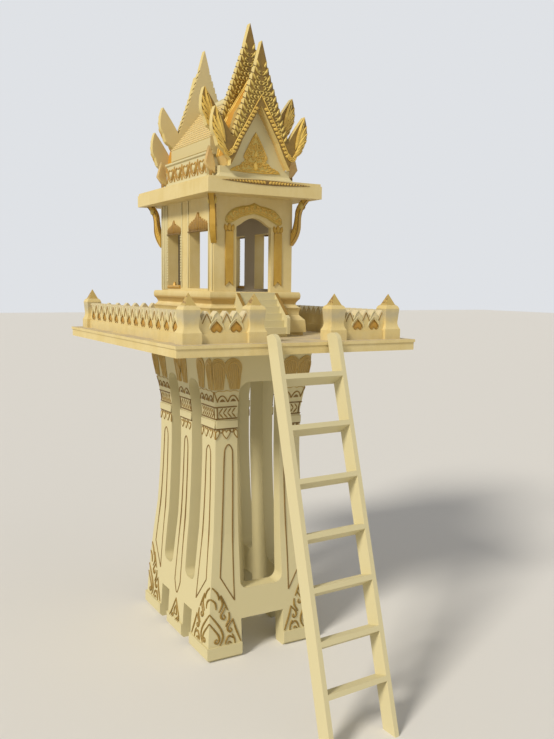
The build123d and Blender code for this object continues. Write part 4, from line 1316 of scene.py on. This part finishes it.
# Scrolls of a corner foot, as the distance from the arris and the height
FOOT_SCROLLS = (
    mm((0, 155), (19.5, 132), (42, 102), (51, 78), (47, 60), (39.5, 50)),
    mm((0, 126), (14, 108), (31.5, 88), (38.5, 70), (30.5, 57), (20, 62), (22.5, 71), (29, 71)),
    mm((0, 204), (11, 198), (20.5, 185), (21.5, 168)),
    mm((4.5, 239), (19.5, 226), (29, 209), (30, 197)),
    mm((33, 208), (43, 190), (44, 176), (32, 157)),
    mm((36, 211), (50, 185), (63, 160)),
    mm((53, 171), (47, 159), (38, 148), (41.5, 136), (51, 132), (56, 140), (50, 147)),
    mm((68, 152), (72.5, 131), (62, 117), (58.5, 107)),
    mm((84, 129), (72, 115), (63.5, 104), (67.5, 91), (77, 87), (81.5, 96), (75.5, 100)),
    mm((84, 125), (91.5, 101), (105.5, 71), (114.5, 51)),
    mm((59, 51), (63.5, 71), (76, 77), (86, 66)),
    mm((67, 50), (73.5, 61), (80.5, 51)),
    mm((82.5, 80), (93, 64), (94, 48)),
)
# Half of the scrolls at the foot of a middle leg, from the leg's middle
MIDDLE_SCROLLS = (
    mm((0, 116), (6, 104), (18, 84), (30, 66), (38, 44)),
    mm((0, 90), (8, 78), (12, 66), (8, 56), (2, 60)),
    mm((14, 44), (19, 56), (26, 52), (25, 44)),
)
# Leaf band and fillet of a leg, and the heart that hangs from the fillet
BAND_LOW = 0.777
BAND_HIGH = 0.815
BAND_MIDDLE = 0.796
FILLET_LOW = 0.747
FILLET_HIGH = 0.7705
LEG_HEART = mm((0, 0), (5.5, 6), (10.5, 12.5), (13, 19.5), (11, 25.5), (6.5, 27.5), (2, 24),
               (0, 20))
LEG_HEART += mirror_line(LEG_HEART[1:-1])


def leg_scrolls(scroll, side, hand):
    """Scrolls at the foot of a leg's face: thin start, full middle, fine end."""
    if hand:
        stretch = 1.0 if side in NARROW_SIDES else 1.15
        paths = [[(x * stretch, z) for x, z in path] for path in FOOT_SCROLLS]
    else:
        scroll = scroll * 0.85
        paths = [[(turn * x, z) for x, z in path] for turn in (-1, 1) for path in MIDDLE_SCROLLS]
    scrolls = []
    for path in paths:
        last = len(path) - 1
        swell = [sin(pi * min(0.92, 0.12 + 0.86 * index / last)) for index in range(last + 1)]
        scrolls.append(on_face([(x, z, scroll * (0.42 + 0.58 * share))
                                for (x, z), share in zip(path, swell)], side, hand, 0.0006))
    return scrolls


class CarveLegs(bpy.types.Operator):
    """Carve the leaf bands, hanging hearts, panel lines and foot scrolls of the legs"""
    bl_idname = "spirit_house.carve_legs"
    bl_label = "Carve legs"

    def execute(self, context):
        carving = context.scene.spirit_house_carving
        width = carving.line
        hearts, heart_rims, lines, scrolls, leaves, fillets = [], [], [], [], [], []
        leaf = mm((0, 0, 0.9), (5, 6.3, 2.4), (10.5, 12.75, 2.2), (14, 15.3, 0.6))
        drop_line = mm((-6.5, 744), (-5.5, 735), (0, 731.5), (5.5, 735), (6.5, 744))
        for side, hand in CORNER_FACES + MIDDLE_FACES:
            narrow = side in NARROW_SIDES
            if not hand:
                start, end, kind = -0.048, 0.048, "middle"
                borders, spots = (start + 0.004, end - 0.004), (-0.030, 0.0, 0.030)
            else:
                start, end, kind = (0.0, 0.077, "narrow") if narrow else (0.0, 0.102, "wide")
                borders = (0.007,)
                spots = (0.0, 0.0375, 0.077) if narrow else (0.0, 0.034, 0.068, 0.102)

            def add_line(points, thick=1.0, out=0.0004, side=side, hand=hand):
                lines.append(on_face([(x, z, width * thick) for x, z in points],
                                     side, hand, out))

            across = (start, (start + end) / 2, end - 0.001)
            for z in (BAND_LOW, BAND_HIGH):
                add_line([(x, z) for x in across])
            for x in borders:
                add_line([(x, z) for z in (BAND_LOW, BAND_MIDDLE, BAND_HIGH)])
            add_line([(x, FILLET_LOW - 0.0022) for x in across], 1.2)
            for path in PANELS[kind]:
                add_line(path, out=0.0001)

            count = max(3, round((end - start - 0.016) / 0.0155))
            step = (end - start - 0.0175) / count
            for index in range(count):
                x = start + 0.0125 + index * step
                for lean in (-1, 1):
                    leaves.append(on_face([(x + a, BAND_MIDDLE - 0.0005 + lean * b, thick)
                                           for a, b, thick in leaf], side, hand, 0.0004))
            fillet = cut_plate("fillet", [(start, FILLET_LOW), (end, FILLET_LOW),
                                          (end, FILLET_HIGH), (start, FILLET_HIGH)],
                               0.0046, 0.0012)
            fillets.append(bend(fillet, side, hand))

            size = 1.0 if hand else 0.85
            for spot in spots:
                shape = LEG_HEART
                if hand and spot == spots[0]:
                    shape = [point for point in shape if point[0] >= 0]
                elif hand and spot == spots[-1]:
                    shape = [point for point in shape if point[0] <= 0]
                shape = [(x * size + spot, z * size + 0.7125) for x, z in shape]
                hearts.append(bend(carve_relief("drop", shape, 0.0030, 0.0016), side, hand))
                heart_rims.append(on_face([(x, z, width * 0.9) for x, z in shape + shape[:1]],
                                          side, hand, 0.0010))
            for spot, next_spot in zip(spots, spots[1:]):
                add_line([((spot + next_spot) / 2 + x, z) for x, z in drop_line], 0.8)
            scrolls += leg_scrolls(carving.scroll, side, hand)
        finish_piece(join_pieces("leg_band_hearts", hearts), "cream_paint")
        finish_piece(draw_strokes("leg_band_heart_rims", heart_rims, 2), "cheek_paint")
        finish_piece(draw_strokes("leg_band_leaves", leaves, 2), "cheek_paint")
        finish_piece(join_pieces("leg_fillets", fillets), "cream_paint")
        finish_piece(draw_strokes("leg_lines", lines), "line_paint")
        finish_piece(draw_strokes("foot_scrolls", scrolls), "scroll_paint")
        return {"FINISHED"}


class CarveBrackets(bpy.types.Operator):
    """Carve the eave brackets: dark edge lines, a row of small leaves and an oval boss"""
    bl_idname = "spirit_house.carve_brackets"
    bl_label = "Carve eave brackets"

    def execute(self, context):
        edge_lines = (mm((3.5, 1340, 1.2), (19, 1362, 1.5), (26.2, 1388, 1.5), (27.2, 1432, 1.5),
                         (37, 1456, 1.5), (55.5, 1476, 1.2)),
                      mm((2, 1372, 1), (12, 1400, 1.3), (15.8, 1433, 1.3), (24, 1460, 1.3),
                         (37, 1476.5, 1)))
        leaf = mm((-3, -8, 1), (2.2, -3, 2.4), (1.8, 4, 1.8), (-2, 8, 0.5))
        leaf_lines = [moved(leaf, x, z) for x, z in mm((13, 1378), (18.5, 1396), (20, 1414),
                                                       (21, 1431))]
        oval = [(0.0085 * cos(radians(turn)), 0.0125 * sin(radians(turn)))
                for turn in range(0, 360, 30)]
        boss = carve_relief("boss", oval, 0.0050, 0.0022)
        edges, leaves, places = [], [], []
        for hand in (-1, 1):
            for end in (-1, 1):
                corner = Vector((hand * WALL_X, HOUSE_Y + end * WALL_Y, 0))
                out = Vector((hand * 0.059, end * 0.087, 0)).normalized()
                for face in (-1, 1):
                    look = Vector((-out.y, out.x, 0)) * face

                    def on_bracket(drawn, corner=corner, out=out, look=look):
                        return [(corner + out * a + look * 0.0090 + Vector((0, 0, z)), width)
                                for a, z, width in drawn]

                    edges += [on_bracket(drawn) for drawn in edge_lines]
                    leaves += [on_bracket(drawn) for drawn in leaf_lines]
                    places.append(stand_on(corner + out * 0.0345 + look * 0.0088
                                           + Vector((0, 0, 1.4600)), look))
        finish_piece(draw_strokes("bracket_edges", edges), "line_paint")
        finish_piece(draw_strokes("bracket_leaves", leaves, 2), "bright_gold_paint")
        finish_piece(lay_copies("bracket_bosses", boss, places), "gold_paint")
        return {"FINISHED"}


# Stage: the photo's camera, solved from the object's edges, with its angles in radians
CAMERA_PLACE = (-1.1991, DECK_Y - 2.4683, 1.2002)
CAMERA_YAW = 0.5152
CAMERA_PITCH = -0.1063
CAMERA_ROLL = 0.0119
CAMERA_FOCUS = 789.06 / 739
SENSOR_WIDTH = 36.0


class SetStage(bpy.types.Operator):
    """Add the floor, the backdrop colour, the lamps and the camera"""
    bl_idname = "spirit_house.set_stage"
    bl_label = "Set stage"

    def execute(self, context):
        stage = context.scene.spirit_house_stage
        clear_selection()
        bpy.ops.mesh.primitive_plane_add(size=60.0, location=(0, 0, 0))
        floor = bpy.context.object
        floor.name = "floor"
        ground = bpy.data.materials.new("floor_paint")
        ground.use_nodes = True
        shader = ground.node_tree.nodes["Principled BSDF"]
        shader.inputs["Base Color"].default_value = (*stage.floor, 1)
        shader.inputs["Roughness"].default_value = 0.9
        floor.data.materials.append(ground)

        world = bpy.data.worlds.new("pale_room")
        world.use_nodes = True
        context.scene.world = world
        tree = world.node_tree
        tree.nodes.clear()
        even = new_node(tree, "ShaderNodeBackground", Strength=stage.ambient)
        even.inputs["Color"].default_value = (1.0, 0.985, 0.96, 1)
        seen = new_node(tree, "ShaderNodeBackground", Strength=1.0)
        seen.inputs["Color"].default_value = (*stage.sky, 1)
        rays = tree.nodes.new("ShaderNodeLightPath").outputs
        shown = calculate(tree, "MAXIMUM", rays["Is Camera Ray"], rays["Is Glossy Ray"])
        shown = calculate(tree, "MAXIMUM", shown, rays["Is Transmission Ray"])
        choose = tree.nodes.new("ShaderNodeMixShader")
        outlet = tree.nodes.new("ShaderNodeOutputWorld")
        for socket, source in zip(choose.inputs, (shown, even.outputs[0], seen.outputs[0])):
            tree.links.new(source, socket)
        tree.links.new(choose.outputs[0], outlet.inputs[0])

        aim = Vector((0, DECK_Y, 1.2))
        for name, place, power, spread, tint in (
                ("key_lamp", (-3.2, -1.1, 3.9), stage.key, radians(14), (1.0, 0.94, 0.83)),
                ("fill_lamp", (1.8, -3.6, 2.8), stage.fill, radians(70), (1.0, 0.98, 0.96))):
            bpy.ops.object.light_add(type="SUN", location=place)
            lamp = bpy.context.object
            lamp.name = name
            lamp.data.energy = power
            lamp.data.angle = spread
            lamp.data.color = tint
            lamp.rotation_euler = (aim - Vector(place)).to_track_quat("-Z", "Y").to_euler()

        turn = (Matrix.Rotation(-CAMERA_YAW, 3, "Z")
                @ Matrix.Rotation(pi / 2 + CAMERA_PITCH, 3, "X")
                @ Matrix.Rotation(CAMERA_ROLL, 3, "Z"))
        bpy.ops.object.camera_add(location=CAMERA_PLACE, rotation=turn.to_euler())
        camera = bpy.context.object
        camera.name = "photo_camera"
        camera.data.sensor_width = SENSOR_WIDTH
        camera.data.lens = CAMERA_FOCUS * SENSOR_WIDTH
        context.scene.camera = camera
        context.scene.view_settings.view_transform = "Standard"
        return {"FINISHED"}


OPERATORS = (MixPaints, PaintNodes, LayRoof, CarveFrieze, DressBoards, CarvePediments, TrimPorches,
             DressWalls, DressDoorways, DressParapets, CarveHead, CarveLegs, CarveBrackets,
             SetStage)
GROUPS = ((SpiritHousePaint, "spirit_house_paint"), (SpiritHouseCarving, "spirit_house_carving"),
          (SpiritHouseStage, "spirit_house_stage"))


class SpiritHousePanel(bpy.types.Panel):
    """Lists the steps that build the spirit house's looks"""
    bl_idname = "VIEW3D_PT_spirit_house"
    bl_label = "Spirit House"
    bl_space_type = "VIEW_3D"
    bl_region_type = "UI"
    bl_category = "Spirit House"

    def draw(self, context):
        for group, attribute in GROUPS:
            box = self.layout.box()
            settings = getattr(context.scene, attribute)
            for key in group.__annotations__:
                box.prop(settings, key)
        for step in OPERATORS:
            self.layout.operator(step.bl_idname)


def register():
    for group, attribute in GROUPS:
        bpy.utils.register_class(group)
        setattr(bpy.types.Scene, attribute, PointerProperty(type=group))
    for step in OPERATORS:
        bpy.utils.register_class(step)
    bpy.utils.register_class(SpiritHousePanel)


def unregister():
    bpy.utils.unregister_class(SpiritHousePanel)
    for step in reversed(OPERATORS):
        bpy.utils.unregister_class(step)
    for group, attribute in reversed(GROUPS):
        delattr(bpy.types.Scene, attribute)
        bpy.utils.unregister_class(group)


def main():
    register()
    for step in OPERATORS:
        family, name = step.bl_idname.split(".")
        getattr(getattr(bpy.ops, family), name)()


if __name__ == "__main__":
    main()
